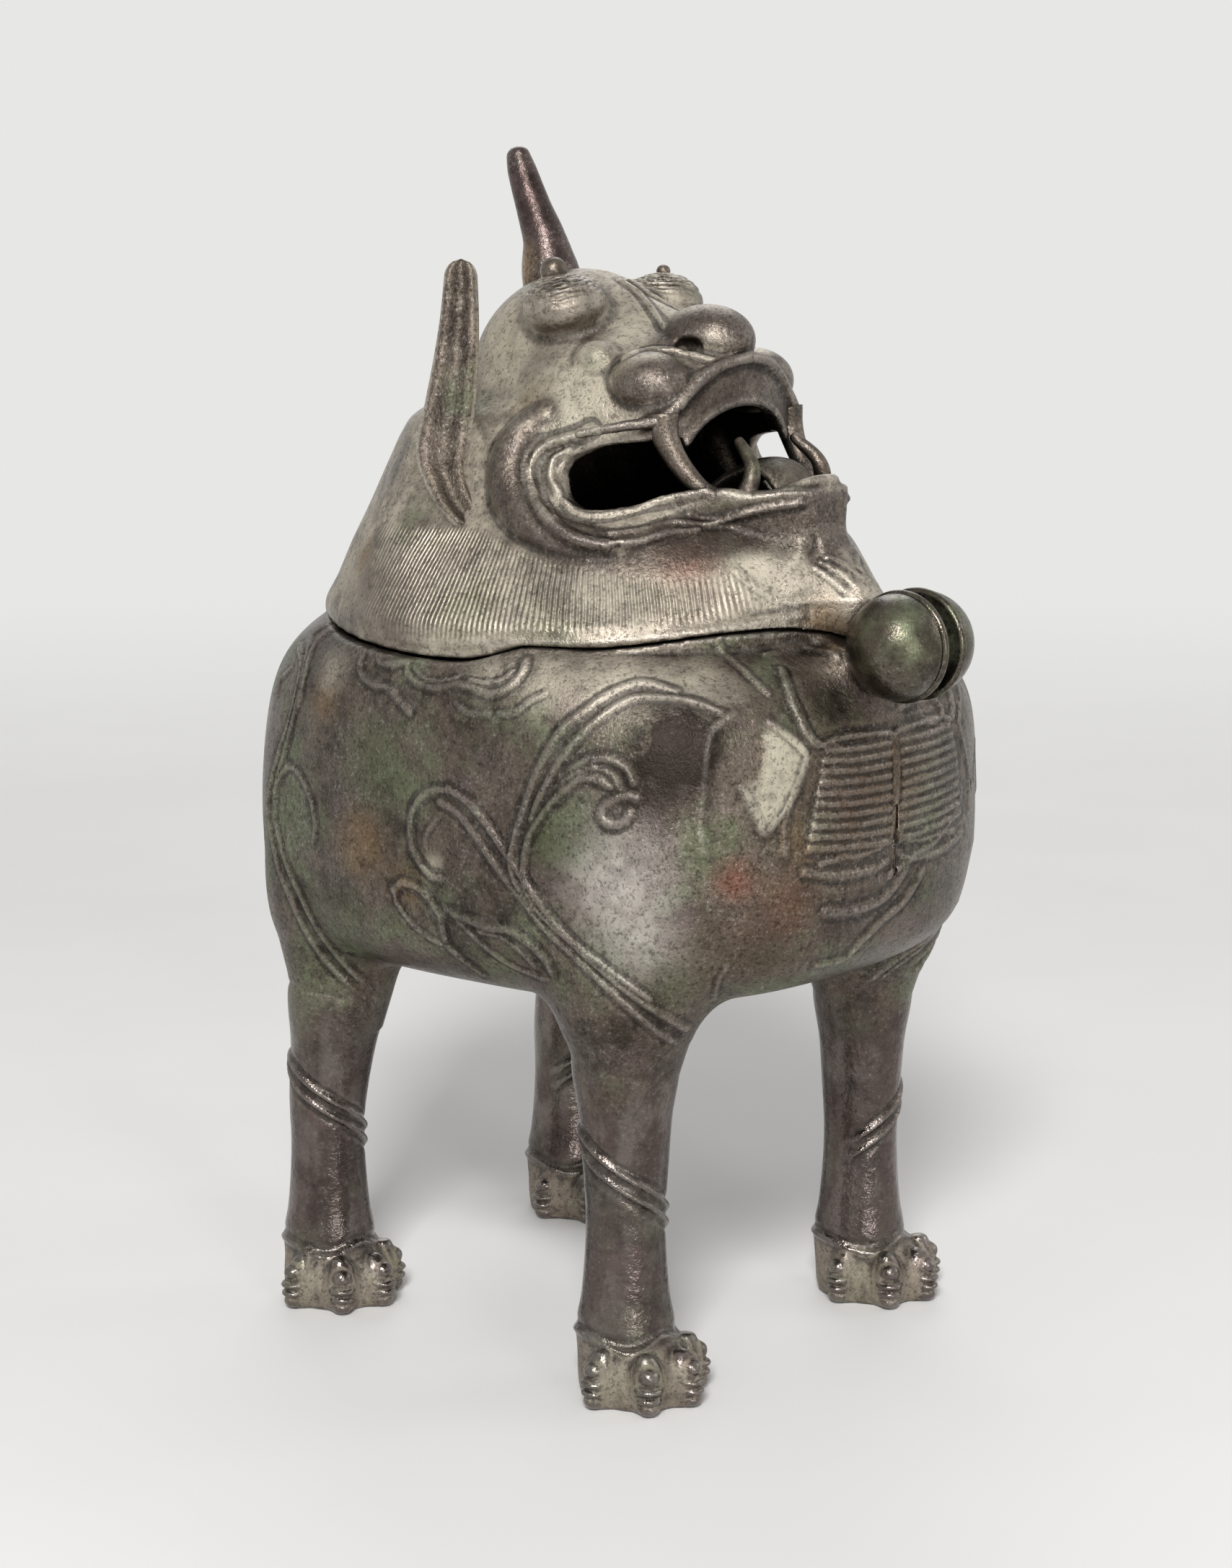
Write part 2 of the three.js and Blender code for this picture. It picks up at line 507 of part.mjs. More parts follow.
for (const [side, sx] of SIDES) {
  addPiece(`ear_${side}`, ear(side, sx, 0), BRONZE);
  addPiece(`eye_stud_${side}`, eyeStud(sx, 0), WORN_BRONZE);
  addPiece(`fang_${side}`, fang(sx, 0), WORN_BRONZE);
  addPiece(`front_tooth_${side}`, frontTooth(sx, 0), WORN_BRONZE);
}

export default object;
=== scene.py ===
"""Looks of the lion-shaped bronze incense burner, laid out as an add-on and run as a script.

Shapes are worked out in millimetres in the object's own frame and put into meshes in metres. The bowl, the
legs and the head are level surfaces of distance fields; the smaller pieces are profiles carried along curves.
Relief lines are given as points of the 1708 x 2174 photograph, or of an enlarged part of it, and are cast onto
the surface that carries them.
"""
import math

import bmesh
import bpy
import numpy as np
from bpy.props import FloatProperty, FloatVectorProperty, IntProperty, PointerProperty
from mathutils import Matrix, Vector
from mathutils.bvhtree import BVHTree


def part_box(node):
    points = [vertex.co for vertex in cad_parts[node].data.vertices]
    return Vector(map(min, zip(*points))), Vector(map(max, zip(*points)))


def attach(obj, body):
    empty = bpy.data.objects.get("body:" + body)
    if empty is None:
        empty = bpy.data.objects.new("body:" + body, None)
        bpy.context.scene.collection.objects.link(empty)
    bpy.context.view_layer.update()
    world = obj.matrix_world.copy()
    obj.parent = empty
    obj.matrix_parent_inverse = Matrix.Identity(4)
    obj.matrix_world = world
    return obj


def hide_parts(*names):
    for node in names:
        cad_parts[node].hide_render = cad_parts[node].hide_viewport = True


bl_info = {
    "name": "Lion Censer",
    "version": (1, 0, 0),
    "blender": (4, 5, 0),
    "location": "View3D > Sidebar > Censer",
    "description": "Builds the looks of a bronze beast censer around its packed frame",
    "category": "Add Mesh",
}

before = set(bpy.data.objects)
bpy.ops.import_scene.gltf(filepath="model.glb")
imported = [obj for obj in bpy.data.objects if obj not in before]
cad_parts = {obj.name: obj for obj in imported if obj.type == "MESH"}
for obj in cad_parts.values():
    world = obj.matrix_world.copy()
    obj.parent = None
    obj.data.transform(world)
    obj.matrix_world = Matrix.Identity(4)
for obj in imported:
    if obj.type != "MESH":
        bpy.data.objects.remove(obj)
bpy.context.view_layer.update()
MM = 1000.0


def box_mm(node):
    """Lowest and highest corner of a frame node in millimetres."""
    low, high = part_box(node)
    return np.array(low) * MM, np.array(high) * MM


# Main sizes taken from the frame, in millimetres
BOWL_LOW, BOWL_HIGH = box_mm("body_bowl")
HEAD_LOW, HEAD_HIGH = box_mm("head_shell")
HORN_LOW, HORN_HIGH = box_mm("horn")
PIN_LOW, PIN_HIGH = box_mm("hinge_pin")
PAW_LOW, PAW_HIGH = box_mm("leg_front_left")
HINGE_Y = (PIN_LOW[1] + PIN_HIGH[1]) / 2
HINGE_Z = (PIN_LOW[2] + PIN_HIGH[2]) / 2
PAW_X = (PAW_LOW[0] + PAW_HIGH[0]) / 2
PAW_Y = 58.0
LEG_TOP = PAW_HIGH[2]
SEAM_SLOPE = 0.15

# Body: half width, half length, middle and squareness of its level sections at mid height and at the rim
MIDDLE = (80.0, 97.0, -3.3, 2.9)
RIM = (73.3, 84.0, 1.4, 2.0)
DRAWN_FROM, RIM_Z, DRAWN_POWER = 155.0, 200.0, 3.7
BODY_Z = [95.5, 97, 99.5, 103.5, 109, 118, 135, 155, 182, 200, 212]
BODY_PART = [0.0, 0.34, 0.62, 0.8, 0.9, 0.965, 1.0, 1.0, 1.0, 1.0, 1.0]
BODY_REACH = 84.0
SHOULDER_FRONT = ((47.5, -57.0, 148.0), (24.0, 26.5, 42.0))
SHOULDER_REAR = ((48.0, 56.0, 146.0), (22.0, 23.0, 41.0))
BELLY_LIFT = ([-90.0, 80.0], [6.5, 2.5])
STUB_FRONT = ((52.0, -52.5), [60, 93, 98, 107, 116, 128, 140], [5.3, 15.2, 17.2, 20.6, 22.0, 20.0, 14.0])
STUB_REAR = ((51.0, 57.0), [60, 93, 98, 107, 116, 128, 140], [4.9, 14.8, 16.0, 18.0, 20.0, 19.0, 14.0])

# Legs: radius of the shank over height, its place, and the angles of the toes from straight ahead
SHANK_Z = [-5, 6, 18, 27, 39, 50, 62, 76, 93, 110]
SHANK_RADIUS = [12.0, 12.5, 13.3, 11.9, 10.9, 10.7, 11.4, 12.4, 14.4, 9.9]
SHANK_X = 52.5
SHANK_Y = {"front": -52.0, "rear": 63.0}
REAR_LEAN = (5.5, 52.0, 96.0)
TOE_ANGLES = (-98.0, -41.0, 8.0, 57.0, 106.0)

# Head: the collar's size over height and how it is pinched in beside and above the jaw
COLLAR_Z = [190, 200, 205, 211.5, 221, 231.5, 243.5, 252, 256.7, 260, 262, 264]
COLLAR_PART = [1.0, 1.0, 0.995, 0.952, 0.9, 0.835, 0.766, 0.715, 0.67, 0.58, 0.36, -0.1]
SIDE_PINCH, FRONT_PINCH = 0.14, 0.28
COLLAR_REACH = 76.0

# Muzzle and jaw as stations [y, middle height, half width, reach upwards, reach downwards]
MUZZLE = [(20, 252, 30, 26, 20), (12, 252, 34, 30, 20), (-4, 252, 39, 34.5, 20), (-14, 252, 39, 33, 20),
          (-24, 251.5, 36.5, 31, 20), (-34, 251, 33, 28.5, 20), (-44, 250.5, 30.5, 24.7, 20), (-53, 250, 28.5, 21.5, 20)]
JAW = [(4, 236, 46, 4, 20), (-4, 236, 46, 4, 20), (-25, 236, 43.5, 3, 19), (-37, 236, 37, 3, 18),
       (-46, 238, 31.5, 3, 19), (-57, 239, 25, 3, 19), (-66.5, 238.5, 18.5, 3, 18), (-74, 239.5, 12.5, 3, 18),
       (-78, 239, 7, 3, 15)]

# Mouth: its opening seen from the side as [y, z], the arch at its front and the rims of the lips as [x, y, z]
MOUTH_SIDE = [(-20.5, 243.5), (-21.5, 247), (-26.5, 250), (-33, 251.3), (-41, 252.3), (-48, 252.5), (-56, 251),
              (-62, 250), (-62, 243), (-57, 239.5), (-50, 238.2), (-45, 236.8), (-39, 235), (-33, 234), (-27.5, 234.8),
              (-23, 238)]
FRONT_FACE = (-49.6, 0.0083)
ARCH_MIDDLE_Z, ARCH_HALF_WIDTH, ARCH_HALF_HEIGHT, ARCH_BACK = 246.0, 21.5, 15.3, -30.0
UPPER_LIP = [(0, -50.2, 273.8), (7.5, -49.4, 272.7), (11.5, -48.3, 271.3), (15, -47.3, 269.4), (18.5, -46.5, 266.7),
             (21.5, -45.8, 264), (24.5, -45.2, 261.2), (27.5, -43.9, 259), (30, -42.2, 257.6), (35, -38.5, 256.8),
             (39, -34.7, 256), (43.2, -27.5, 254.4)]
LOWER_LIP = [(0, -76.3, 242.5), (5, -74.8, 242), (9, -71.3, 240.3), (14, -66.5, 238), (20, -61, 239), (23, -57, 239.2),
             (30, -45.5, 236.6), (36, -37.5, 234.4), (41.5, -30, 233.4), (44.5, -24, 236)]
FANG = [(26.5, -42, 260), (26.7, -43.3, 253.5), (25.6, -47.3, 246.5), (23.4, -52.5, 240.5), (20.4, -56.6, 236.8)]
FRONT_TOOTH = [(17.4, -61.5, 236), (15.4, -63.2, 242.5), (14, -62, 247), (12.2, -57, 251.5), (12, -55.4, 253)]
TONGUE = [(0, -68, 226), (0, -67.5, 237), (0, -60, 244.6), (0, -50, 242.5), (0, -40, 236)]

# The photograph's camera, fitted to the four paws
PHOTO_WIDTH, PHOTO_HEIGHT = 1708, 2174
CAMERA_AZIMUTH = math.radians(-48.9)
CAMERA_ELEVATION = math.radians(10.3)
CAMERA_DISTANCE = 850.0
CAMERA_TARGET = np.array([1.38, -1.58, 152.0])
FOCAL_PIXELS = 4135.0
SENSOR = 36.0
TOWARDS_CAMERA = np.array([
    math.sin(CAMERA_AZIMUTH) * math.cos(CAMERA_ELEVATION),
    -math.cos(CAMERA_AZIMUTH) * math.cos(CAMERA_ELEVATION),
    math.sin(CAMERA_ELEVATION),
])
CAMERA_RIGHT = np.array([math.cos(CAMERA_AZIMUTH), math.sin(CAMERA_AZIMUTH), 0.0])
CAMERA_UP = np.cross(TOWARDS_CAMERA, CAMERA_RIGHT)
CAMERA_PLACE = CAMERA_TARGET + TOWARDS_CAMERA * CAMERA_DISTANCE


def enlarged(corner, scale, points):
    """Points of the photograph from points of a part of it that starts at a corner and is drawn scale times as big."""
    return [(corner[0] + x / scale, corner[1] + y / scale) for x, y in points]


def flank(*points):
    return enlarged((560, 850), 2.4117, points)


def haunch(*points):
    return enlarged((340, 860), 2.703, points)


def chest(*points):
    return enlarged((1060, 880), 2.703, points)


def face(*points):
    return enlarged((560, 300), 1.96, points)


# Raised lines of the body as [points, half width, height], in the photograph
BODY_LINES = [
    (flank((910, 262), (800, 232), (700, 262), (600, 330), (520, 400), (450, 520), (405, 640), (372, 740), (355, 830),
           (372, 900), (430, 990)), 0.85, 0.9),
    (flank((1060, 330), (950, 290), (830, 280), (750, 290), (660, 345), (580, 420), (510, 510), (450, 620), (425, 690)),
     0.8, 0.9),
    (flank((765, 570), (740, 520), (680, 490), (620, 490), (560, 520)), 0.8, 0.9),
    (flank((720, 590), (690, 540), (640, 520), (590, 528), (530, 565)), 0.6, 0.5),
    (flank((690, 585), (640, 555), (590, 556), (540, 590), (480, 650), (420, 740), (400, 830), (402, 910), (440, 985),
           (500, 1050), (560, 1100), (640, 1160), (740, 1235), (820, 1292)), 0.8, 0.9),
    (flank((775, 622), (745, 612), (706, 622), (668, 650), (660, 682), (690, 706), (730, 700), (752, 672)), 0.9, 1.0),
    (flank((150, 590), (95, 595), (50, 625), (22, 690), (30, 790), (80, 870), (120, 885)), 0.8, 0.85),
    (flank((150, 590), (210, 630), (270, 700), (330, 790), (395, 885), (455, 975), (530, 1070), (640, 1175), (750, 1268),
           (850, 1338), (950, 1395)), 0.9, 1.0),
    (flank((120, 632), (180, 670), (240, 750), (310, 850), (380, 940), (460, 1045), (540, 1120), (640, 1215), (740, 1310),
           (840, 1395), (910, 1440)), 0.8, 0.85),
    (flank((110, 690), (75, 740), (72, 790)), 0.6, 0.4),
    (haunch((555, 1010), (590, 985), (640, 1000), (690, 1045), (730, 1110), (742, 1165), (760, 1220), (820, 1275),
            (890, 1325)), 0.9, 1.0),
    (haunch((560, 1020), (575, 1070), (630, 1140), (690, 1190), (740, 1215)), 0.7, 0.7),
    (haunch((780, 1100), (830, 1120), (900, 1150), (990, 1165), (1060, 1210), (1120, 1270), (1150, 1320)), 1.0, 1.1),
    (haunch((800, 1130), (860, 1190), (930, 1250), (1010, 1300), (1120, 1345)), 0.7, 0.7),
    (haunch((870, 1165), (960, 1190), (1040, 1250), (1085, 1300)), 0.6, 0.5),
    (haunch((440, 115), (432, 190), (470, 235), (540, 255), (575, 300), (615, 345)), 0.75, 0.85),
    (haunch((500, 130), (510, 160), (560, 165), (605, 160), (612, 200), (650, 235), (720, 252), (790, 240), (850, 250),
            (920, 275), (985, 250), (1035, 195), (1050, 150)), 0.85, 0.95),
    (haunch((630, 175), (670, 215), (730, 228), (790, 215)), 0.6, 0.5),
    (haunch((840, 220), (900, 235), (960, 225), (1010, 185)), 0.6, 0.5),
    (haunch((790, 310), (830, 345), (880, 352), (915, 350)), 0.65, 0.6),
    (haunch((950, 352), (1010, 345), (1070, 300), (1120, 275)), 0.65, 0.6),
    (haunch((330, 30), (270, 80), (240, 140), (220, 230), (200, 320)), 0.8, 0.85),
    (haunch((205, 95), (212, 170), (190, 280), (160, 400), (120, 520), (92, 640), (88, 730), (105, 840), (130, 940),
            (170, 1040), (220, 1150), (290, 1260), (370, 1350), (430, 1400), (490, 1440)), 0.85, 1.0),
    (haunch((300, 20), (250, 60), (232, 130), (205, 260), (180, 370), (145, 500), (118, 610), (112, 720), (130, 830),
            (160, 930), (205, 1030), (260, 1140), (330, 1240), (410, 1330), (500, 1400)), 0.8, 0.85),
    (haunch((110, 640), (140, 570), (170, 550), (210, 590), (245, 670), (262, 760), (255, 830)), 0.75, 0.85),
    (haunch((175, 180), (135, 220), (120, 280)), 0.7, 0.7),
    (chest((0, 70), (80, 52), (150, 42), (230, 62), (270, 80)), 0.8, 0.7),
    (chest((60, 125), (85, 200), (120, 290), (155, 360), (200, 412), (270, 390), (370, 375), (470, 368)), 0.9, 1.0),
    (chest((478, 372), (479, 380), (485, 450), (486, 560), (487, 660), (480, 730), (440, 790), (360, 825), (290, 835), (210, 862)),
     0.8, 0.85),
    (chest((640, 245), (665, 285), (640, 325), (600, 330)), 0.9, 0.9),
    (chest((505, 275), (560, 250), (620, 235), (680, 190)), 0.9, 0.8),
    (chest((20, 325), (85, 372), (140, 425), (158, 462), (130, 560), (80, 680), (75, 820)), 0.9, 0.6),
    (chest((150, 890), (280, 905), (400, 880), (460, 850)), 0.9, 0.8),
    (chest((230, 1040), (330, 1035), (430, 1000), (490, 940), (530, 870)), 1.2, 1.2),
    (chest((190, 1240), (290, 1215), (370, 1140), (440, 1070), (520, 1000), (590, 890)), 1.0, 1.3),
    (chest((290, 1380), (400, 1290), (490, 1220), (590, 1150), (680, 1060)), 1.0, 1.2),
    (chest((250, 1420), (360, 1350), (470, 1260), (580, 1180)), 0.7, 0.7),
    (chest((735, 590), (700, 680), (640, 770), (560, 830), (470, 900)), 1.0, 0.9),
    (flank((1060, 120), (1130, 185), (1220, 270)), 0.8, 0.8),
    (flank((1100, 340), (1030, 400), (1010, 500), (1000, 600), (990, 720), (1000, 800)), 1.5, 0.8),
    (flank((1270, 190), (1310, 290), (1370, 420), (1440, 440)), 0.8, 0.8),
    (flank((1130, 590), (1180, 690), (1210, 740), (1290, 640)), 0.8, 0.45),
    (flank((1080, 1180), (1050, 1230), (1040, 1290)), 0.6, 0.5),
]
RIB_COUNT, RIB_PITCH = 10, 41.0
CREAM_LEAF = flank((1210, 390), (1270, 400), (1350, 460), (1320, 560), (1290, 640), (1200, 740), (1180, 690),
                   (1130, 590), (1180, 580), (1210, 480))

# Raised lines of the head
HEAD_LINES = [
    (face((560, 860), (640, 850), (720, 830), (830, 835), (960, 800), (1080, 780)), 0.9, 0.7),
    (face((400, 800), (440, 850), (520, 880), (620, 885), (720, 860), (800, 850)), 0.9, 0.6),
    (face((600, 385), (650, 366), (700, 362), (770, 370), (850, 395)), 1.0, 1.0),
    (face((590, 175), (640, 210), (680, 260), (705, 300)), 0.8, 0.8),
    (face((1120, 955), (1160, 985), (1200, 1020)), 0.7, 0.35),
    (face((1135, 940), (1185, 965), (1235, 1010)), 0.7, 0.35),
    (face((1150, 925), (1200, 945), (1255, 990)), 0.7, 0.35),
    (face((900, 960), (960, 1010), (1040, 1050), (1120, 1045), (1250, 1045)), 0.8, 0.2),
    (face((0, 1150), (150, 1158), (300, 1160), (420, 1165), (560, 1158), (700, 1145), (850, 1125), (1000, 1095),
          (1080, 1085)), 1.1, 0.35),
]
MOUTH_RIDGES = [
    ([(818, 595), (796, 605), (770, 612), (752, 621), (739, 636), (735, 655), (741, 682), (750, 705), (768, 727),
      (800, 748), (840, 757)], 1.3, 1.3),
    ([(789, 625), (770, 634), (764, 648), (765, 667), (784, 692), (800, 705), (819, 712), (842, 713), (858, 709),
      (888, 700), (919, 692), (943, 686), (980, 680)], 1.0, 1.0),
]
MOUTH_ROLL = [(780, 551), (752, 568), (722, 594), (703, 630), (699, 664), (707, 700), (731, 733), (780, 757), (845, 766),
              (905, 752), (962, 728)]
ROLL_RADII = [0.6, 3.0, 5.2, 6.4, 6.6, 6.4, 6.0, 5.4, 4.6, 3.4, 1.6]
PUFFS = [((902, 524), (10.5, 12.0, 9.0), 4.5, 1.2), ((824, 494), (5.6, 6.2, 5.6), 2.2, 2.0)]
# Lines along which the head is marked umber: partly the dark brown of roll, nose, cheeks and lips, partly painted shade
# of the creases and recesses beside them.
UMBER_AND_SHADE_LINES = [
    (MOUTH_ROLL[1:], 7.0), ([(790, 752), (880, 765), (960, 752), (1040, 730), (1110, 712)], 11.0),
    ([(905, 590), (945, 575), (985, 545), (1030, 518), (1075, 530), (1105, 565)], 6.5),
    ([(870, 545), (900, 522), (935, 515)], 8.5), ([(930, 470), (965, 445), (1000, 440), (1040, 470)], 8.0),
    ([(940, 620), (965, 650), (990, 680)], 5.0), ([(1130, 690), (1150, 730), (1140, 770)], 7.0),
]
JAW_BORDER = face((205, 850), (300, 905), (420, 945), (560, 975), (680, 990), (760, 995), (850, 985), (920, 960))


def to_photo(points):
    """Where points land in the photograph: the pinhole camera's formula, in pixels."""
    away = points - CAMERA_PLACE
    depth = -(away @ TOWARDS_CAMERA)
    across = PHOTO_WIDTH / 2 + FOCAL_PIXELS * (away @ CAMERA_RIGHT) / depth
    down = PHOTO_HEIGHT / 2 - FOCAL_PIXELS * (away @ CAMERA_UP) / depth
    return np.stack([across, down], -1)


def photo_ray(pixel):
    """The direction from the camera through a point of the photograph."""
    across = (pixel[0] - PHOTO_WIDTH / 2) / FOCAL_PIXELS
    up = (PHOTO_HEIGHT / 2 - pixel[1]) / FOCAL_PIXELS
    way = -TOWARDS_CAMERA + CAMERA_RIGHT * across + CAMERA_UP * up
    return way / np.linalg.norm(way)


def smooth_line(points, steps=8):
    """Catmull-Rom curve through points: each span is the usual cubic of its four neighbours."""
    given = np.asarray(points, float)
    padded = np.vstack([2 * given[0] - given[1], given, 2 * given[-1] - given[-2]])
    t = np.linspace(0, 1, steps, endpoint=False)[:, None]
    spans = []
    for a, b, c, d in zip(padded[:-3], padded[1:-2], padded[2:-1], padded[3:]):
        spans.append(0.5 * (2 * b + (c - a) * t + (2 * a - 5 * b + 4 * c - d) * t**2
                            + (3 * b - a - 3 * c + d) * t**3))
    return np.vstack(spans + [given[-1:]])


def smooth_step(low, high, value):
    """0 below low and 1 above high, with the cubic 3t^2 - 2t^3 between."""
    t = np.clip((value - low) / (high - low), 0.0, 1.0)
    return t * t * (3 - 2 * t)


def profile(z, heights, values):
    """A value over height, read off the smooth curve through the given pairs."""
    dense = smooth_line(np.stack([heights, values], 1), 12)
    return np.interp(z, dense[:, 0], dense[:, 1])


def join(a, b, blend):
    """Smooth union of two distances: the smaller one, rounded over the width blend."""
    h = np.clip(0.5 + 0.5 * (b - a) / blend, 0.0, 1.0)
    return b + (a - b) * h - blend * h * (1 - h)


def carve(a, b, blend):
    """Smooth difference: a without b."""
    return -join(-a, b, blend)


def levelled(value, step):
    """Turns any function that is negative inside a form into a distance near its surface: the function
    divided by the length of its gradient."""
    slope = np.sqrt(sum(g**2 for g in np.gradient(value, step)))
    return np.clip(value / np.maximum(slope, 1e-4), -40.0, 40.0).astype(np.float32)


def ellipsoid(p, centre, radii):
    """Distance to an ellipsoid, near enough close to it: k0 (k0 - 1) / k1 with scaled lengths k0 and k1."""
    x, y, z = (p[i] - centre[i] for i in range(3))
    k0 = np.sqrt((x / radii[0]) ** 2 + (y / radii[1]) ** 2 + (z / radii[2]) ** 2) + 1e-6
    k1 = np.sqrt((x / radii[0] ** 2) ** 2 + (y / radii[1] ** 2) ** 2 + (z / radii[2] ** 2) ** 2) + 1e-9
    return k0 * (k0 - 1.0) / k1


def tube(p, line, radii):
    """Distance to a bent tube: the nearest of its straight spans, less the radius at that place."""
    best = None
    for (a, ra), (b, rb) in zip(zip(line[:-1], radii[:-1]), zip(line[1:], radii[1:])):
        along = b - a
        length = float(along @ along) + 1e-9
        t = sum((p[i] - a[i]) * along[i] for i in range(3)) / length
        t = np.clip(t, 0.0, 1.0)
        gap = np.sqrt(sum((p[i] - a[i] - along[i] * t) ** 2 for i in range(3))) - (ra + (rb - ra) * t)
        best = gap if best is None else np.minimum(best, gap)
    return best


class Field:
    """A distance field on a grid over the half x >= 0; every shape in it is mirrored."""

    def __init__(self, low, high, step):
        self.step = step
        self.axes = [np.arange(0.0, high[0] + step, step, dtype=np.float32)]
        self.axes += [np.arange(low[i], high[i] + step, step, dtype=np.float32) for i in (1, 2)]
        self.value = np.full([len(a) for a in self.axes], 50.0, np.float32)

    def part(self, low, high):
        """The slices and the open coordinate arrays of the part of the grid inside a box."""
        cut = []
        for axis, a, b in zip(self.axes, low, high):
            cut.append(slice(int(np.searchsorted(axis, a)), int(np.searchsorted(axis, b)) + 1))
        x, y, z = (axis[s] for axis, s in zip(self.axes, cut))
        return tuple(cut), (x[:, None, None], y[None, :, None], z[None, None, :])

    def everywhere(self):
        x, y, z = self.axes
        return x[:, None, None], y[None, :, None], z[None, None, :]

    def add(self, shape, low, high, blend=1.0):
        """Joins a shape, given as a function of the coordinates, inside a box padded by the blend."""
        pad = blend + 2 * self.step
        cut, p = self.part(np.array(low) - pad, np.array(high) + pad)
        self.value[cut] = join(self.value[cut], shape(p), blend)

    def add_ellipsoid(self, centre, radii, blend=4.0):
        c, r = np.array(centre, float), np.array(radii, float)
        self.add(lambda p: ellipsoid(p, c, r), c - r, c + r, blend)

    def cut_ellipsoid(self, centre, radii, blend=1.0):
        c, r = np.array(centre, float), np.array(radii, float)
        pad = blend + 2 * self.step
        cut, p = self.part(c - r - pad, c + r + pad)
        self.value[cut] = carve(self.value[cut], ellipsoid(p, c, r), blend)

    def add_tube(self, line, radii, blend=1.5):
        line = np.asarray(line, float)
        radii = np.atleast_1d(np.asarray(radii, float))
        radii = np.interp(np.linspace(0, 1, len(line)), np.linspace(0, 1, len(radii)), radii)
        big = radii.max()
        self.add(lambda p: tube(p, line, radii), line.min(0) - big, line.max(0) + big, blend)

    def surface(self):
        """Mesh of the zero level, both halves: see net."""
        whole = np.concatenate([self.value[:0:-1], self.value])
        start = np.array([-self.axes[0][-1], self.axes[1][0], self.axes[2][0]])
        return net(whole, start, self.step)


def net(value, start, step):
    """Surface net: one point in each cell that the level crosses, at the mean of its edges' crossings, and one
    four-sided face round each crossed edge, turned so that it faces out of the negative side."""
    cells = np.array(value.shape) - 1
    strides = np.array([cells[1] * cells[2], cells[2], 1])
    totals = [np.zeros(int(cells.prod())) for _ in range(3)]
    count = np.zeros(int(cells.prod()))
    loops = []
    for axis in range(3):
        u, v = (axis + 1) % 3, (axis + 2) % 3
        first = [slice(None)] * 3
        second = [slice(None)] * 3
        first[axis], second[axis] = slice(None, -1), slice(1, None)
        a, b = value[tuple(first)], value[tuple(second)]
        at = np.array(np.nonzero((a < 0) != (b < 0))).T
        va, vb = a[tuple(at.T)], b[tuple(at.T)]
        place = at.astype(float)
        place[:, axis] += va / (va - vb)
        keep = (at[:, u] > 0) & (at[:, u] < cells[u]) & (at[:, v] > 0) & (at[:, v] < cells[v])
        at, place, va = at[keep], place[keep], va[keep]
        ring = []
        for du, dv in ((-1, -1), (0, -1), (0, 0), (-1, 0)):
            cell = at.copy()
            cell[:, u] += du
            cell[:, v] += dv
            index = cell @ strides
            ring.append(index)
            for i in range(3):
                totals[i] += np.bincount(index, weights=place[:, i], minlength=len(count))
            count += np.bincount(index, minlength=len(count))
        ring = np.stack(ring, 1)
        ring[va > 0] = ring[va > 0][:, ::-1]
        loops.append(ring)
    faces = np.concatenate(loops)
    used = np.unique(faces)
    number = np.full(len(count), -1)
    number[used] = np.arange(len(used))
    points = np.stack([totals[i][used] / count[used] for i in range(3)], 1) * step + start
    return points, number[faces]


def relaxed(points, faces, rounds=2, pull=0.5):
    """Moves every point part of the way to the mean of its neighbours along the faces' edges."""
    edges = np.concatenate([faces[:, [i, (i + 1) % 4]] for i in range(4)])
    weight = np.bincount(edges[:, 0], minlength=len(points)) + np.bincount(edges[:, 1], minlength=len(points))
    for _ in range(rounds):
        mean = np.zeros_like(points)
        for i in range(3):
            mean[:, i] = np.bincount(edges[:, 0], points[edges[:, 1], i], len(points))
            mean[:, i] += np.bincount(edges[:, 1], points[edges[:, 0], i], len(points))
        points = points + pull * (mean / np.maximum(weight, 1)[:, None] - points)
    return points


def normals_of(points, faces):
    """Unit normals at the points: the faces' normals by their diagonals' cross product, added up and scaled."""
    cross = np.cross(points[faces[:, 2]] - points[faces[:, 0]], points[faces[:, 3]] - points[faces[:, 1]])
    total = np.zeros_like(points)
    for corner in range(4):
        for i in range(3):
            total[:, i] += np.bincount(faces[:, corner], cross[:, i], len(points))
    return total / np.maximum(np.linalg.norm(total, axis=1), 1e-9)[:, None]


def marks_of(points, faces):
    """How deep in a hollow and how proud every point stands, 0 to 1: its gap along the normal to the surface
    smoothed a little and smoothed a lot."""
    normals = normals_of(points, faces)
    fine = relaxed(points, faces, 3)
    broad = relaxed(fine, faces, 14)
    depth = ((fine - points) * normals).sum(1) * 6.0 + ((broad - points) * normals).sum(1) * 1.6
    return {"hollow": np.clip(depth, 0, 1), "proud": np.clip(-depth, 0, 1)}


def line_distance(points, line):
    """Shortest distance from every point to a line of straight spans."""
    best = np.full(len(points), 1e9)
    low, high = line.min(0) - 8.0, line.max(0) + 8.0
    near = np.nonzero(((points > low) & (points < high)).all(1))[0]
    p = points[near]
    nearest = np.full(len(p), 1e9)
    for a, b in zip(line[:-1], line[1:]):
        along = b - a
        t = np.clip(((p - a) @ along) / (along @ along + 1e-9), 0, 1)
        nearest = np.minimum(nearest, np.linalg.norm(p - a - t[:, None] * along, axis=1))
    best[near] = nearest
    return best


class Caster:
    """Casts points of the photograph onto a surface."""

    def __init__(self, points, faces):
        self.tree = BVHTree.FromPolygons(points.tolist(), faces.tolist())

    def line(self, pixels, steps=6):
        """The line through pixels on the surface, broken off where it would leap to a farther part."""
        kept = []
        for pixel in smooth_line(pixels, steps):
            place, _, _, _ = self.tree.ray_cast(Vector(CAMERA_PLACE), Vector(photo_ray(pixel)))
            if place is not None and (not kept or np.linalg.norm(np.array(place) - kept[-1]) < 9.0):
                kept.append(np.array(place))
        return np.array(kept)


def mirrored(line):
    return line * np.array([-1.0, 1.0, 1.0])


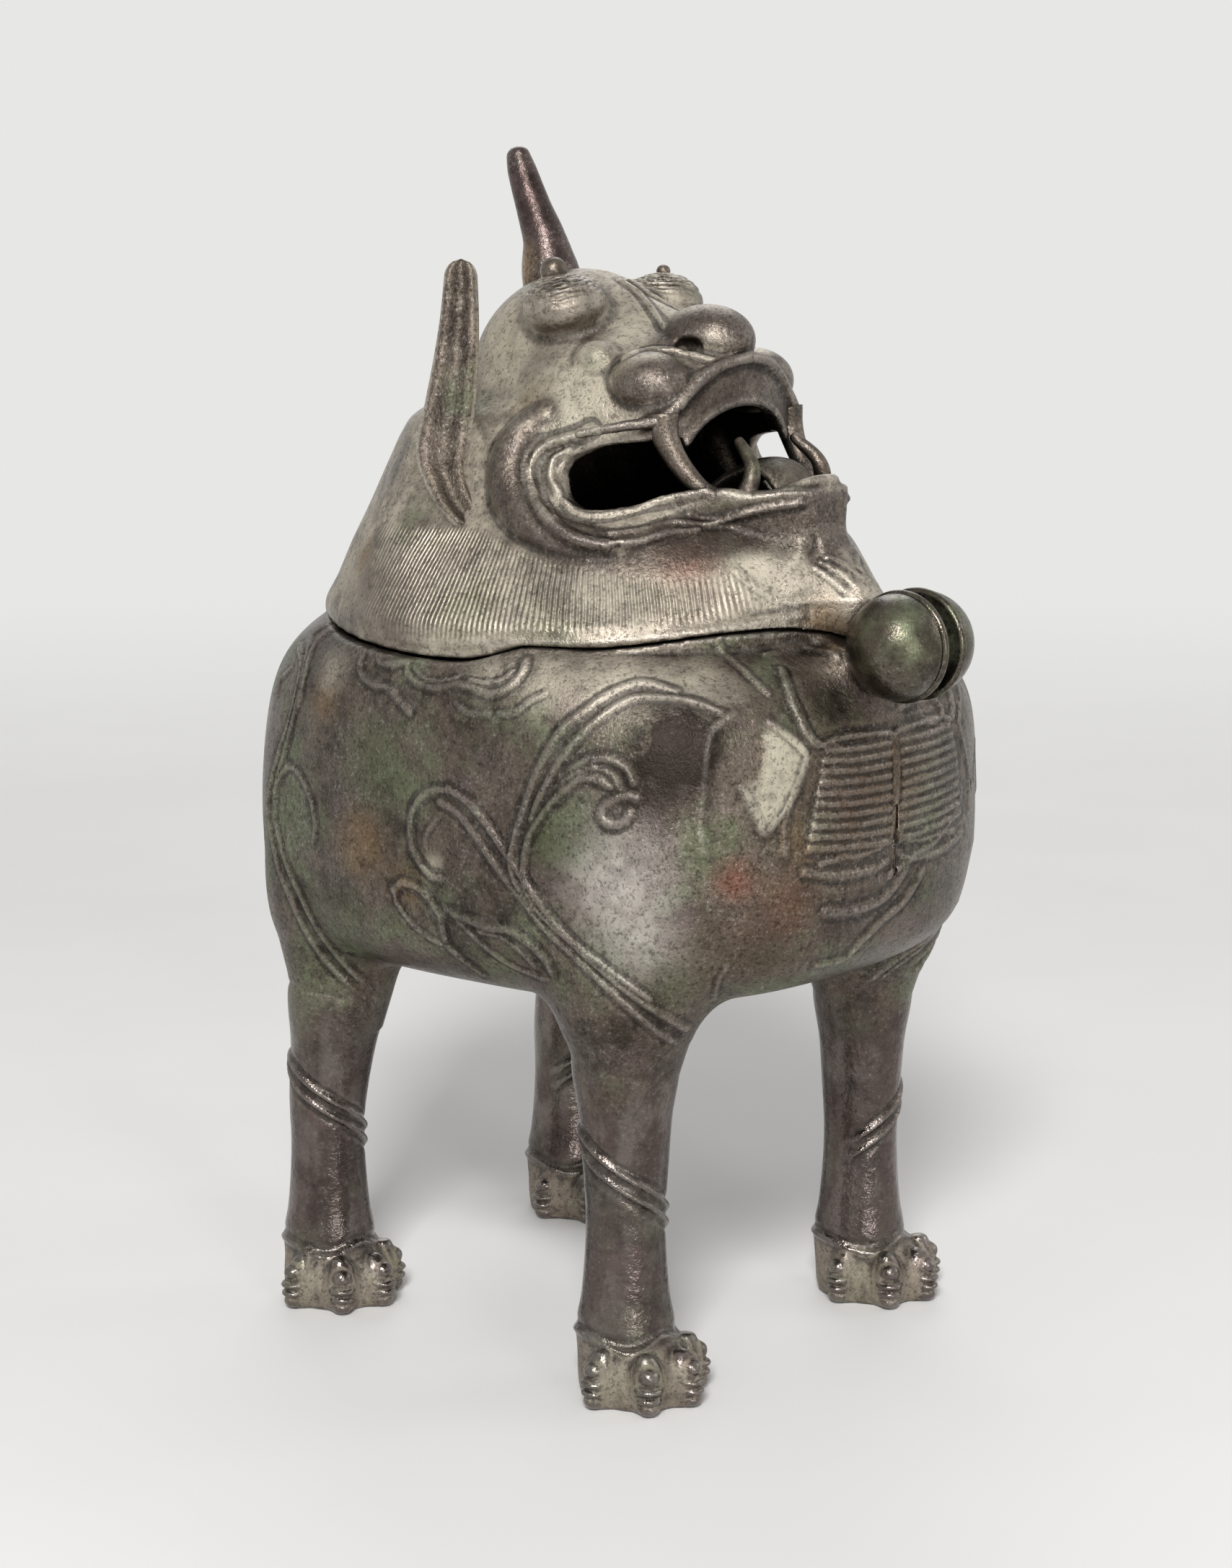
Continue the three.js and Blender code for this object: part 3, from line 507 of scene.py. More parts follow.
def relief_height(points, lines):
    """Height of raised lines [line, half width, height] at every point, and of the mirror images of those on one
    side only: a bell curve of the distance to the line with a shallow groove along each side."""
    height = np.zeros(len(points))
    for line, width, rise in lines:
        if len(line) < 2:
            continue
        for side in (line, mirrored(line)) if line[:, 0].max() < 2.0 else (line,):
            d = line_distance(points, side)
            crest = rise * np.exp(-((d / width) ** 2)) - 0.3 * rise * np.exp(-(((d - 2.1 * width) / width) ** 2))
            height = np.where(np.abs(crest) > np.abs(height), crest, height)
    return height


def make_mesh(name, points, faces, attributes=None):
    """Puts points in millimetres and faces into a new mesh object in metres, smooth shaded."""
    mesh = bpy.data.meshes.new(name)
    mesh.from_pydata((points / MM).tolist(), [], [f for f in faces.tolist()])
    for key, values in (attributes or {}).items():
        layer = mesh.attributes.new(key, "FLOAT", "POINT")
        layer.data.foreach_set("value", np.asarray(values, np.float32))
    mesh.polygons.foreach_set("use_smooth", np.ones(len(mesh.polygons), bool))
    mesh.validate()
    mesh.update()
    piece = bpy.data.objects.new(name, mesh)
    bpy.context.scene.collection.objects.link(piece)
    return piece


def thinned(piece, limit):
    """Collapses edges of a mesh, the flattest places first, until it has at most limit triangles."""
    triangles = 2 * len(piece.data.polygons)
    if triangles <= limit:
        return piece
    modifier = piece.modifiers.new("thin", "DECIMATE")
    modifier.ratio = limit / triangles
    whole = bpy.context.evaluated_depsgraph_get()
    thin = bpy.data.meshes.new_from_object(piece.evaluated_get(whole))
    piece.modifiers.clear()
    old = piece.data
    piece.data = thin
    bpy.data.meshes.remove(old)
    thin.name = piece.name
    thin.polygons.foreach_set("use_smooth", np.ones(len(thin.polygons), bool))
    thin.update()
    return piece


def swept(line, across, up, widths, depths, around, trough):
    """Closed bar along a line: rings with half width and half depth along two directions, and a point at each
    end. Point (i, j) = line[i] + widths[i] cos(a_j) across + depths[i] sin(a_j) up[i]. Where the sine is above
    0 it is cut by the part trough exp(-(cos(a_j) / 0.6)^2) of itself, which hollows the bar's upper side."""
    line = np.asarray(line, float)
    a = np.linspace(0, 2 * np.pi, around, endpoint=False)
    across = np.broadcast_to(across, line.shape)
    rings = line[:, None, :] + (np.asarray(widths)[:, None] * np.cos(a))[..., None] * across[:, None, :]
    high = np.sin(a) * (1 - trough * np.exp(-((np.cos(a) / 0.6) ** 2)) * (np.sin(a) > 0))
    rings = rings + (np.asarray(depths)[:, None] * high)[..., None] * up[:, None, :]
    n = len(line)
    index = np.arange(n * around).reshape(n, around)
    nxt = np.roll(index, -1, axis=1)
    quads = np.stack([index[:-1], nxt[:-1], nxt[1:], index[1:]], -1).reshape(-1, 4)
    first, last = n * around, n * around + 1
    points = np.vstack([rings.reshape(-1, 3), line[:1], line[-1:]])
    start = np.stack([nxt[0], index[0], np.full(around, first)], 1)
    end = np.stack([index[-1], nxt[-1], np.full(around, last)], 1)
    return points, quads.tolist() + start.tolist() + end.tolist()


def bar_frames(line, side):
    """Across and up directions along a line: side made square to the line, and the cross product of the two."""
    tangent = np.gradient(line, axis=0)
    tangent /= np.linalg.norm(tangent, axis=1)[:, None]
    across = side - (tangent @ side)[:, None] * tangent
    across /= np.linalg.norm(across, axis=1)[:, None]
    return across, np.cross(tangent, across)


def bar_piece(name, line, side, widths, depths, around=32, trough=0.0):
    """A swept bar as an object, with its faces turned outwards. A bar with a trough is marked where it is
    hollow and along its proud edges."""
    line = np.asarray(line, float)
    across, up = bar_frames(line, np.asarray(side, float))
    points, faces = swept(line, across, up, widths, depths, around, trough)
    mesh = bpy.data.meshes.new(name)
    mesh.from_pydata((points / MM).tolist(), [], faces)
    if trough:
        a = np.tile(np.linspace(0, 2 * np.pi, around, endpoint=False), len(line))
        hollow = 0.3 * np.exp(-((np.cos(a) / 0.6) ** 2)) * (np.sin(a) > 0)
        for key, mark in (("proud", smooth_step(0.78, 0.97, np.abs(np.cos(a)))), ("hollow", hollow)):
            layer = mesh.attributes.new(key, "FLOAT", "POINT")
            layer.data.foreach_set("value", np.append(mark, (0, 0)).astype(np.float32))
    mesh.validate()
    piece = bpy.data.objects.new(name, mesh)
    bpy.context.scene.collection.objects.link(piece)
    weld(piece)
    return piece


def weld(piece):
    """Merges doubled points, such as those of a pole, turns the faces outwards and shades them smooth."""
    work = bmesh.new()
    work.from_mesh(piece.data)
    bmesh.ops.remove_doubles(work, verts=work.verts, dist=1e-6)
    bmesh.ops.recalc_face_normals(work, faces=work.faces)
    work.to_mesh(piece.data)
    work.free()
    piece.data.polygons.foreach_set("use_smooth", np.ones(len(piece.data.polygons), bool))
    piece.data.update()


def rounded_ends(t, start, end):
    """1 along a bar and a quarter circle down to nothing at its ends, over the given parts of its length."""
    rise = np.clip(t / max(start, 1e-6), 0, 1)
    fall = np.clip((1 - t) / max(end, 1e-6), 0, 1)
    return np.sqrt(np.clip(1 - (1 - rise) ** 2, 4e-4, 1)) * np.sqrt(np.clip(1 - (1 - fall) ** 2, 4e-4, 1))


# Shader maths
class Socket:
    """A shader socket with the arithmetic of a number."""

    def __init__(self, finish, socket):
        self.finish, self.socket = finish, socket

    def _math(self, kind, first, second=0.5):
        return self.finish.node("ShaderNodeMath", {"operation": kind}, {0: first, 1: second})

    def __add__(self, other):
        return self._math("ADD", self, other)

    __radd__ = __add__

    def __sub__(self, other):
        return self._math("SUBTRACT", self, other)

    def __rsub__(self, other):
        return self._math("SUBTRACT", other, self)

    def __mul__(self, other):
        return self._math("MULTIPLY", self, other)

    __rmul__ = __mul__

    def sine(self):
        return self._math("SINE", self)

    def clamp(self):
        return self.finish.node("ShaderNodeClamp", {}, {0: self})

    def ramp(self, low, high):
        """0 below low and 1 above high, eased between."""
        return self.finish.node("ShaderNodeMapRange", {"interpolation_type": "SMOOTHSTEP"},
                                {"Value": self, "From Min": low, "From Max": high})


class Nodes:
    """A node tree and the one way in which nodes are added to it."""

    def __init__(self, tree):
        self.tree = tree
        tree.nodes.clear()

    def node(self, kind, settings, inputs, output=0):
        """Adds a node: its settings first, then the values or links of its sockets."""
        made = self.tree.nodes.new(kind)
        for key, value in settings.items():
            setattr(made, key, value)
        for key, value in inputs.items():
            if isinstance(value, Socket):
                self.tree.links.new(value.socket, made.inputs[key])
            else:
                made.inputs[key].default_value = value
        return Socket(self, made.outputs[output])

    def seen(self):
        """1 for rays of the camera, of reflections and through glass, 0 for the light that falls on things."""
        camera = self.node("ShaderNodeLightPath", {}, {}, "Is Camera Ray")
        outputs = camera.socket.node.outputs
        others = Socket(self, outputs["Is Glossy Ray"]) + Socket(self, outputs["Is Transmission Ray"])
        return (camera + others).clamp()


class Finish(Nodes):
    """One material and the nodes in it."""

    def __init__(self, name):
        self.material = bpy.data.materials.new(name)
        self.material.use_nodes = True
        super().__init__(self.material.node_tree)
        self.surface = self.tree.nodes.new("ShaderNodeBsdfPrincipled")
        self.output = self.tree.nodes.new("ShaderNodeOutputMaterial")
        self.tree.links.new(self.surface.outputs[0], self.output.inputs["Surface"])
        self.position = self.node("ShaderNodeTexCoord", {}, {}, "Object")

    def noise(self, size_mm, detail=4.0, rough=0.55, shift=0.0, stretch=(1.0, 1.0, 1.0)):
        """Noise in 0..1 whose features are about size_mm wide."""
        place = self.node("ShaderNodeVectorMath", {"operation": "MULTIPLY_ADD"},
                          {0: self.position, 1: stretch, 2: (shift, shift, shift)}, 0)
        return self.node("ShaderNodeTexNoise", {}, {
            "Vector": place, "Scale": MM / size_mm, "Detail": detail, "Roughness": rough})

    def distance(self, centre_mm):
        """Distance from a place, in millimetres."""
        centre = tuple(c / MM for c in centre_mm)
        gap = self.node("ShaderNodeVectorMath", {"operation": "DISTANCE"}, {0: self.position, 1: centre}, "Value")
        return gap * MM

    def spot(self, centre_mm, radius_mm):
        """1 at a place and 0 past a radius, eased between."""
        return 1.0 - self.distance(centre_mm).ramp(0.0, radius_mm)

    def mix(self, a, b, factor):
        """Colour a where factor is 0 and b where it is 1."""
        return self.node("ShaderNodeMix", {"data_type": "RGBA"}, {0: factor, 6: a, 7: b}, 2)

    def attribute(self, name):
        return self.node("ShaderNodeAttribute", {"attribute_name": name}, {}, "Fac")

    def feed(self, **values):
        """Feeds the surface shader's sockets."""
        names = {"color": "Base Color", "roughness": "Roughness", "metallic": "Metallic", "normal": "Normal"}
        for key, value in values.items():
            socket = self.surface.inputs[names[key]]
            if isinstance(value, Socket):
                self.tree.links.new(value.socket, socket)
            else:
                socket.default_value = value


PALE, DIM = 0.15, 0.08


def rgba(colour):
    return (*colour, 1.0)


def bronze(name, settings, base=None, dust=0.5, patina=0.5, polish=0.4, purple=0.3, grainy=0.7, rough=0.34,
           relief=False, spots=(), painted=(), lower=None, fine=None):
    """Old cast bronze: browns in soft clouds with a purple tinge, green patina in patches, pale dust in
    hollows and, where relief is marked, painted shade darkening them, a rubbed gloss on what stands proud,
    and a speckled, pitted grain whose pale speckles are partly painted highlight glints. Lower is a colour
    with the two heights between which the metal turns smooth and rubbed, as the legs are, with pale streaks
    there that are a painted highlight."""
    f = Finish(name)
    clouds = f.noise(24.0, 5.0, 0.6)
    mottle = f.noise(6.0, 6.0, 0.68, 3.1)
    speckle = f.noise(1.7, 5.0, 0.72, 7.7) * 0.5 + f.noise(0.8, 3.0, 0.7, 1.9) * 0.5
    green_mask = f.noise(30.0, 5.0, 0.62, 11.3).ramp(0.64 - 0.28 * patina, 0.82 - 0.26 * patina)
    green_mask = (green_mask * mottle.ramp(0.3, 0.55)).clamp()
    dust_mask = f.noise(15.0, 6.0, 0.72, 5.3).ramp(0.78 - 0.42 * dust, 1.04 - 0.4 * dust)
    dust_mask = dust_mask * (mottle.ramp(0.35, 0.65) * 0.7 + 0.3)
    worn_mask = f.noise(26.0, 3.0, 0.5, 17.0).ramp(0.35, 0.7) * polish
    pit_mask = 1.0 - speckle.ramp(0.4, 0.49)
    # Pale speckles, mixed in further down: partly grain, partly painted highlight glints.
    light_mask = speckle.ramp(0.53, 0.63)
    height = speckle * 1.6 + mottle * 0.9
    gloss = 0.0

    def tones(tint, mask):
        return f.mix(rgba(tuple(c * 0.36 for c in tint)), rgba(tint), mask)

    colour = tones(base or settings.brown, (clouds * 0.5 + mottle * 0.5).ramp(0.36, 0.6))
    if lower is not None:
        tint, low_end, high_end = lower
        level = f.node("ShaderNodeSeparateXYZ", {}, {0: f.position}, "Z") * MM
        low = 1.0 - (level + clouds * 30.0 - 15.0).ramp(low_end, high_end)
        low = low * (1.0 - f.attribute("dusty"))
        keep = 1.0 - low * 0.62
        colour = f.mix(colour, tones(tint, (clouds * 0.7 + mottle * 0.3).ramp(0.34, 0.62)), low)
        green_mask, dust_mask, pit_mask, light_mask = (
            part * keep for part in (green_mask, dust_mask, pit_mask, light_mask))
        height = height * keep + f.noise(2.6, 3.0, 0.6, 37.0) * low * 1.6
        # Pale streaks on the legs: painted highlight, standing in for glints of the lamps on the shanks.
        painted_highlight_streaks = f.noise(9.0, 4.0, 0.6, 31.0, (1.0, 1.0, 0.5)).ramp(0.44, 0.64)
        colour = f.mix(colour, rgba(settings.rubbed_and_highlight), painted_highlight_streaks * low * 0.16)
        worn_mask = worn_mask + low * 0.3
        gloss = low * 0.1
    if relief:
        proud = f.attribute("proud").clamp()
        deep_mask = f.attribute("hollow").clamp().ramp(0.08, 0.55)
        dust_mask = dust_mask + deep_mask * dust * mottle.ramp(0.42, 0.6) * 0.8
        worn_mask = worn_mask + proud.ramp(0.15, 0.9) * 0.45
    dust_mask = dust_mask.clamp()
    worn_mask = worn_mask.clamp()
    purple_mask = f.noise(17.0, 4.0, 0.6, 23.0).ramp(0.62 - 0.3 * purple, 0.78 - 0.2 * purple)
    colour = f.mix(colour, rgba(settings.purple), purple_mask * 0.7)
    colour = f.mix(colour, rgba(settings.green), green_mask * 0.8)
    colour = f.mix(colour, rgba(settings.dust), dust_mask * 0.7)
    matt = dust_mask + green_mask * 0.6
    for tint, centre, radius, strength in spots:
        mask = (f.spot(centre, radius) * (mottle.ramp(0.3, 0.6) * 0.5 + 0.5) * strength).clamp()
        colour = f.mix(colour, rgba(tint), mask)
        matt = matt + mask * (0.8 if min(tint) > PALE else -0.3)
        # Dark spots, among them painted shade, lose their pale speckles and rubbed colour.
        if max(tint) < DIM:
            light_mask = light_mask * (1.0 - mask * 0.9)
            worn_mask = worn_mask * (1.0 - mask)
    for mark, tint, strength in painted:
        mask = (f.attribute(mark) * (mottle.ramp(0.28, 0.56) * 0.7 + 0.3) * strength).clamp()
        colour = f.mix(colour, rgba(tint), mask)
        matt = matt + f.attribute(mark) * (0.8 if min(tint) > PALE else -0.6)
    if relief:
        # Darkening of hollows and grooves by their depth: painted shade.
        colour = f.mix(colour, rgba(settings.dark), deep_mask * 0.75)
        colour = f.mix(colour, rgba(settings.rubbed_and_highlight), proud.ramp(0.2, 0.9) * 0.12)
    colour = f.mix(colour, rgba(settings.dark), pit_mask * (0.25 + 0.5 * grainy))
    # Pale speckles in the rubbed colour: partly grain, partly painted highlight glints.
    colour = f.mix(colour, rgba(settings.rubbed_and_highlight), light_mask * (worn_mask * 0.4 + 0.3 * grainy))
    colour = f.mix(colour, rgba(settings.rubbed_and_highlight), worn_mask * (1.0 - pit_mask) * 0.12)
    matt = matt.clamp()
    roughness = matt * 0.32 + pit_mask * 0.15 - worn_mask * 0.1 + rough - gloss
    if fine is not None:
        height = height + fine(f)
    bump = f.node("ShaderNodeBump", {}, {"Height": height, "Strength": 0.8, "Distance": 0.00008 + 0.00036 * grainy})
    f.feed(color=colour, roughness=roughness.clamp(), metallic=0.95 - matt * 0.7, normal=bump)
    return f.material


def placed(caster, spots):
    """Spots of colour with their places cast from the photograph onto a surface."""
    found = []
    for tint, pixel, radius, strength in spots:
        line = caster.line([pixel, pixel], 1)
        if len(line):
            found.append((tint, tuple(line[0]), radius, strength))
    return found


def dress(piece, body, material, slot, *nodes):
    """Gives a finished piece its material and body, and hides the frame nodes it stands for. The slot argument is not
    used.
    """
    piece.data.materials.clear()
    piece.data.materials.append(material)
    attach(piece, body)
    if nodes:
        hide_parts(*nodes)


PARTING_Y = [-95, -87, -83, -77, -68, -56, -46, -38, -30, -24, -18, -10, 8, 20, 34, 46, 58, 74, 95]
PARTING_Z = [200, 201.5, 203.5, 205, 204.2, 202, 200.8, 201.1, 201, 199.2, 197.3, 196.2, 196.1, 196.8, 197.8, 199.2,
             201, 201.5, 201]


def parting_height(y):
    """Height of the joint between bowl and head: lowest at the middle of the side, with a step up at the
    cheek and a rise towards the bell."""
    return profile(y, PARTING_Y, PARTING_Z)


# Body
def superellipse(p, z, shrink=0.0):
    """Size of the body's level section at every point, as a part of the full section at that height."""
    drawn = np.clip((z - DRAWN_FROM) / (RIM_Z - DRAWN_FROM), 0, 1) ** DRAWN_POWER
    half_width, half_length, middle, power = (a + (b - a) * drawn for a, b in zip(MIDDLE, RIM))
    x = np.abs(p[0]) / (half_width - shrink)
    y = np.abs(p[1] - middle) / (half_length - shrink)
    return (x**power + y**power) ** (1 / power)


def closed_form(part, z, heights, sizes, reach):
    """Distance to a form whose level section has, at each height, the size that a profile gives: part is the
    size of the section through a point. It comes from the gaps to the surface outwards and straight up or down,
    as the height of a right triangle comes from its two sides."""
    outwards = (part - profile(z, heights, sizes)) * reach
    levels = np.linspace(heights[0], heights[-1], 600)
    table = profile(levels, heights, sizes)
    order = np.argsort(table, kind="stable")
    upright = np.where(part < 0.9999, np.interp(part, table[order], levels[order]) - z, 1000.0)
    return (outwards * np.abs(upright) / np.sqrt(outwards**2 + upright**2 + 1e-6)).astype(np.float32)


def barrel(p, shrink=0.0):
    """Distance to the squared barrel, whose underside rises towards the chest, or to the hollow in it."""
    lift = np.interp(p[1], *BELLY_LIFT) * (0.5 if shrink else 1.0) + shrink
    z = p[2] - lift * np.clip((RIM_Z - p[2]) / (RIM_Z - 97.0), 0, 1)
    return closed_form(superellipse(p, z, shrink), z, BODY_Z[:7], BODY_PART[:7], BODY_REACH)


def body_solid(p):
    """Distance to the barrel with its four shoulders and the tops of the legs."""
    value = barrel(p)
    for shoulder in (SHOULDER_FRONT, SHOULDER_REAR):
        value = join(value, ellipsoid(p, *shoulder), 9.0)
    for (x, y), heights, radii in (STUB_FRONT, STUB_REAR):
        shaft = np.sqrt((p[0] - x) ** 2 + (p[1] - y) ** 2) - profile(p[2], heights, radii)
        value = join(value, np.maximum(shaft, p[2] - 136), 8.0)
    return value


def body_field(step):
    """The body's outside with the boss that carries the bell."""
    field = Field((0, BOWL_LOW[1] - 6, LEG_TOP - 8), (BOWL_HIGH[0] + 7, BOWL_HIGH[1] + 6, BOWL_HIGH[2] + 12), step)
    field.value = body_solid(field.everywhere())
    field.add_ellipsoid((0, -88, 193), (17, 10, 11), 6.0)
    return field


def chest_ribs():
    """The level ribs of the chest panel, from its edge to its middle line."""
    lines = []
    for i in range(RIB_COUNT):
        drop = i * RIB_PITCH
        lines.append(chest((235 - 7 * i, 432 + drop), (350 - 3 * i, 426 + drop), (468, 405 + drop)))
    return lines


def inside_mark(points, normals, outline):
    """1 inside an outline of the photograph and 0 outside, for points that face the camera."""
    spots = to_photo(points)
    corners = smooth_line(list(outline) + [outline[0]], 4)
    inside = np.zeros(len(spots), bool)
    for a, b in zip(corners[:-1], corners[1:]):
        rise = b[1] - a[1] if abs(b[1] - a[1]) > 1e-9 else 1e-9
        at = a[0] + (spots[:, 1] - a[1]) * (b[0] - a[0]) / rise
        inside ^= ((a[1] > spots[:, 1]) != (b[1] > spots[:, 1])) & (spots[:, 0] < at)
    facing = ((CAMERA_PLACE - points) * normals).sum(1) > 0
    return (inside & facing).astype(float)


def seam_faded(marks, points):
    """Marks of hollow and proud places without those of the seam between body and leg."""
    away = smooth_step(3.0, 7.0, np.abs(points[:, 2] - LEG_TOP))
    return {name: mark * away for name, mark in marks.items()}


def body_piece(settings):
    caster = Caster(*body_field(2.0).surface())
    step = settings.grid
    field = body_field(step)
    p = field.everywhere()
    hollow = np.maximum(barrel(p, settings.wall), 105.0 - p[2])
    field.value = carve(field.value, hollow, 1.0)
    field.value = np.maximum(field.value, p[2] - parting_height(p[1]) + 0.35)
    field.value = field.value + SEAM_SLOPE * np.clip(LEG_TOP - p[2], 0, None)
    field.value = np.maximum(field.value, LEG_TOP - 4.0 - p[2])
    bell = np.maximum(np.sqrt((p[1] - HINGE_Y) ** 2 + (p[2] - HINGE_Z) ** 2) - 9.6, p[0] - 2.8)
    field.value = carve(field.value, bell + 0 * p[0], 0.6)
    points, faces = field.surface()
    points = relaxed(points, faces)
    normals = normals_of(points, faces)
    lines = [(caster.line(px), 1.15 * width, 0.68 * rise) for px, width, rise in BODY_LINES]
    lines += [(caster.line(px, 5), 1.15, 0.75) for px in chest_ribs()]
    points = points + normals * relief_height(points, lines)[:, None]
    marks = seam_faded(marks_of(points, faces), points)
    cream = inside_mark(points, normals, CREAM_LEAF)
    marks["cream"] = relaxed(np.stack([cream] * 3, 1), faces, 8)[:, 0]
    points = points + normals * 0.5 * marks["cream"][:, None]
    return thinned(make_mesh("body_bronze", points, faces, marks), settings.most), caster


# Legs
def leg_piece(name, end, sx, settings):
    """One leg: a shank with a double band wound round it, a drooping cuff and a paw with five ringed toes. Its
    top has the body's own form and slips under the body's surface above the seam."""
    step = settings.leg_grid
    sy = -1 if end == "front" else 1
    paw_y = sy * PAW_Y
    low = np.array([SHANK_X - 21, min(paw_y, SHANK_Y[end]) - 21, 0.0])
    high = np.array([SHANK_X + 22, max(paw_y, SHANK_Y[end]) + 21, LEG_TOP + 4])
    axes = [np.arange(a - 3 * step, b + 3 * step, step, dtype=np.float32) for a, b in zip(low, high)]
    p = (axes[0][:, None, None], axes[1][None, :, None], axes[2][None, None, :])
    lean = REAR_LEAN[0] * smooth_step(REAR_LEAN[1], REAR_LEAN[2], p[2]) if end == "rear" else 0.0
    value = np.sqrt((p[0] - SHANK_X) ** 2 + (p[1] - SHANK_Y[end] + lean) ** 2)
    around = value
    value = value - profile(p[2], SHANK_Z, SHANK_RADIUS)
    top = axes[2] > LEG_TOP - 12
    upper = np.minimum(value[..., top], body_solid((p[0], p[1], p[2][..., top])))
    upper = np.maximum(upper, (around + 0 * p[2])[..., top] - 19.5)
    value[..., top] = upper + SEAM_SLOPE * np.clip(axes[2][top] - LEG_TOP, 0, None)
    value = join(value, ellipsoid(p, (PAW_X, paw_y, 6.0), (15.2, 15.2, 11.5)), 4.0)
    for degrees in TOE_ANGLES:
        out = np.array([math.sin(math.radians(degrees * sx)), -math.cos(math.radians(degrees)), 0.0])
        middle = np.array([PAW_X, paw_y, 0.0])

        def ball(reach, z, radii, blend):
            return join(value, ellipsoid(p, middle + out * reach + np.array([0, 0, z]), radii), blend)

        value = ball(12.9, 7.0, (5.0, 5.0, 8.6), 1.2)
        value = ball(16.0, 10.8, (2.9, 2.9, 2.6), 0.6)
        value = ball(16.0, 7.4, (3.9, 3.9, 1.35), 0.4)
        value = ball(16.3, 4.9, (3.5, 3.5, 1.3), 0.4)
        value = ball(16.0, 2.4, (3.0, 3.0, 2.2), 0.4)
    for degrees in (-150, -70, -17, 32, 81, 150):
        out = np.array([math.sin(math.radians(degrees * sx)), -math.cos(math.radians(degrees)), 0.0])
        value = carve(value, ellipsoid(p, np.array([PAW_X, paw_y, -0.5]) + out * 19, (3.2, 3.2, 2.6)), 1.0)
    value = np.maximum(value, -p[2])
    value = np.maximum(value, p[2] - LEG_TOP - 3.0)
    points, faces = net(value.astype(np.float32), np.array([a[0] for a in axes]), step)
    points = relaxed(points, faces, 1)
    normals = normals_of(points, faces)
    round_paw = np.arctan2(points[:, 0] - PAW_X, -(points[:, 1] - paw_y))
    cuff = 16.4 + 1.5 * np.cos(np.abs(round_paw) * 360 / 132)
    height = 0.8 * np.exp(-(((points[:, 2] - cuff) / 1.1) ** 2))
    height -= 0.35 * np.exp(-(((points[:, 2] - cuff - 2.3) / 1.0) ** 2))
    leaning = REAR_LEAN[0] * smooth_step(REAR_LEAN[1], REAR_LEAN[2], points[:, 2]) if end == "rear" else 0.0
    angle = np.degrees(np.arctan2(points[:, 1] - SHANK_Y[end] + leaning, points[:, 0] - SHANK_X))
    turn = (50.0 - angle + 40.0) % 360.0 - 40.0
    band = (points[:, 2] - (72.0 - 23.0 * turn / 180.0)) * 0.86
    there = smooth_step(-24.0, 4.0, turn) * smooth_step(225.0, 190.0, turn) * smooth_step(30.0, 34.0, points[:, 2])
    apart = 1.9 * smooth_step(-24.0, 40.0, turn)
    for side in (-1, 1):
        height += 0.95 * there * np.exp(-(((band - side * apart) / 0.75) ** 2))
        height -= 0.4 * there * np.exp(-(((band - side * (apart + 1.9)) / 0.8) ** 2))
    points = points + normals * height[:, None]
    marks = seam_faded(marks_of(points, faces), points)
    marks["dusty"] = smooth_step(17.5, 14.0, points[:, 2]) * (1.0 - smooth_step(0.1, 0.4, marks["proud"]))
    if sx < 0:
        points[:, 0] *= -1
        faces = faces[:, ::-1]
    return make_mesh(name, points, faces, marks)


# Head
def collar(p, shrink=0.0):
    """Distance to the mane collar, an oval that shrinks with height and is pinched in beside and above the
    jaw, or to the hollow in it."""
    y = p[1] - RIM[2]
    z = p[2] + shrink
    front = 1 - FRONT_PINCH * smooth_step(222.0, 250.0, z)
    y = np.where(y < 0, y / front, y)
    side = 1 - SIDE_PINCH * smooth_step(205.0, 240.0, z) * smooth_step(40.0, 0.0, y)
    part = np.sqrt((p[0] / ((RIM[0] - shrink) * side)) ** 2 + (y / (RIM[1] - shrink)) ** 2)
    return closed_form(part, z, COLLAR_Z[1:], COLLAR_PART[1:], COLLAR_REACH)


def lofted(p, step, stations, shrink=0.0, open_top=0.0):
    """Distance to a form through stations along Y, each half an oval upwards and half an oval downwards."""
    rows = np.array(stations, float)[::-1]
    y = p[1]
    middle, half_width, up, down = (profile(y, rows[:, 0], rows[:, i]) for i in range(1, 5))
    rise = p[2] - middle
    reach = np.where(rise > 0, up + open_top, down) - shrink
    part = np.sqrt((p[0] / (half_width - shrink)) ** 2 + (rise / reach) ** 2) - 1
    ends = np.maximum(rows[0, 0] + shrink - y, y - rows[-1, 0]) + 0 * part
    return np.maximum(levelled(part, step), ends)


def polygon_distance(y, z, corners):
    """Signed distance in the side view to an outline, negative inside."""
    best = np.full(y.shape, 1e9)
    inside = np.zeros(y.shape, bool)
    closed = list(corners) + [corners[0]]
    for (ay, az), (by, bz) in zip(closed[:-1], closed[1:]):
        dy, dz = by - ay, bz - az
        t = np.clip(((y - ay) * dy + (z - az) * dz) / (dy * dy + dz * dz + 1e-9), 0, 1)
        best = np.minimum(best, np.hypot(y - ay - t * dy, z - az - t * dz))
        if dz != 0:
            inside ^= ((az > z) != (bz > z)) & (y < ay + (z - az) * dy / dz)
    return np.where(inside, -best, best)


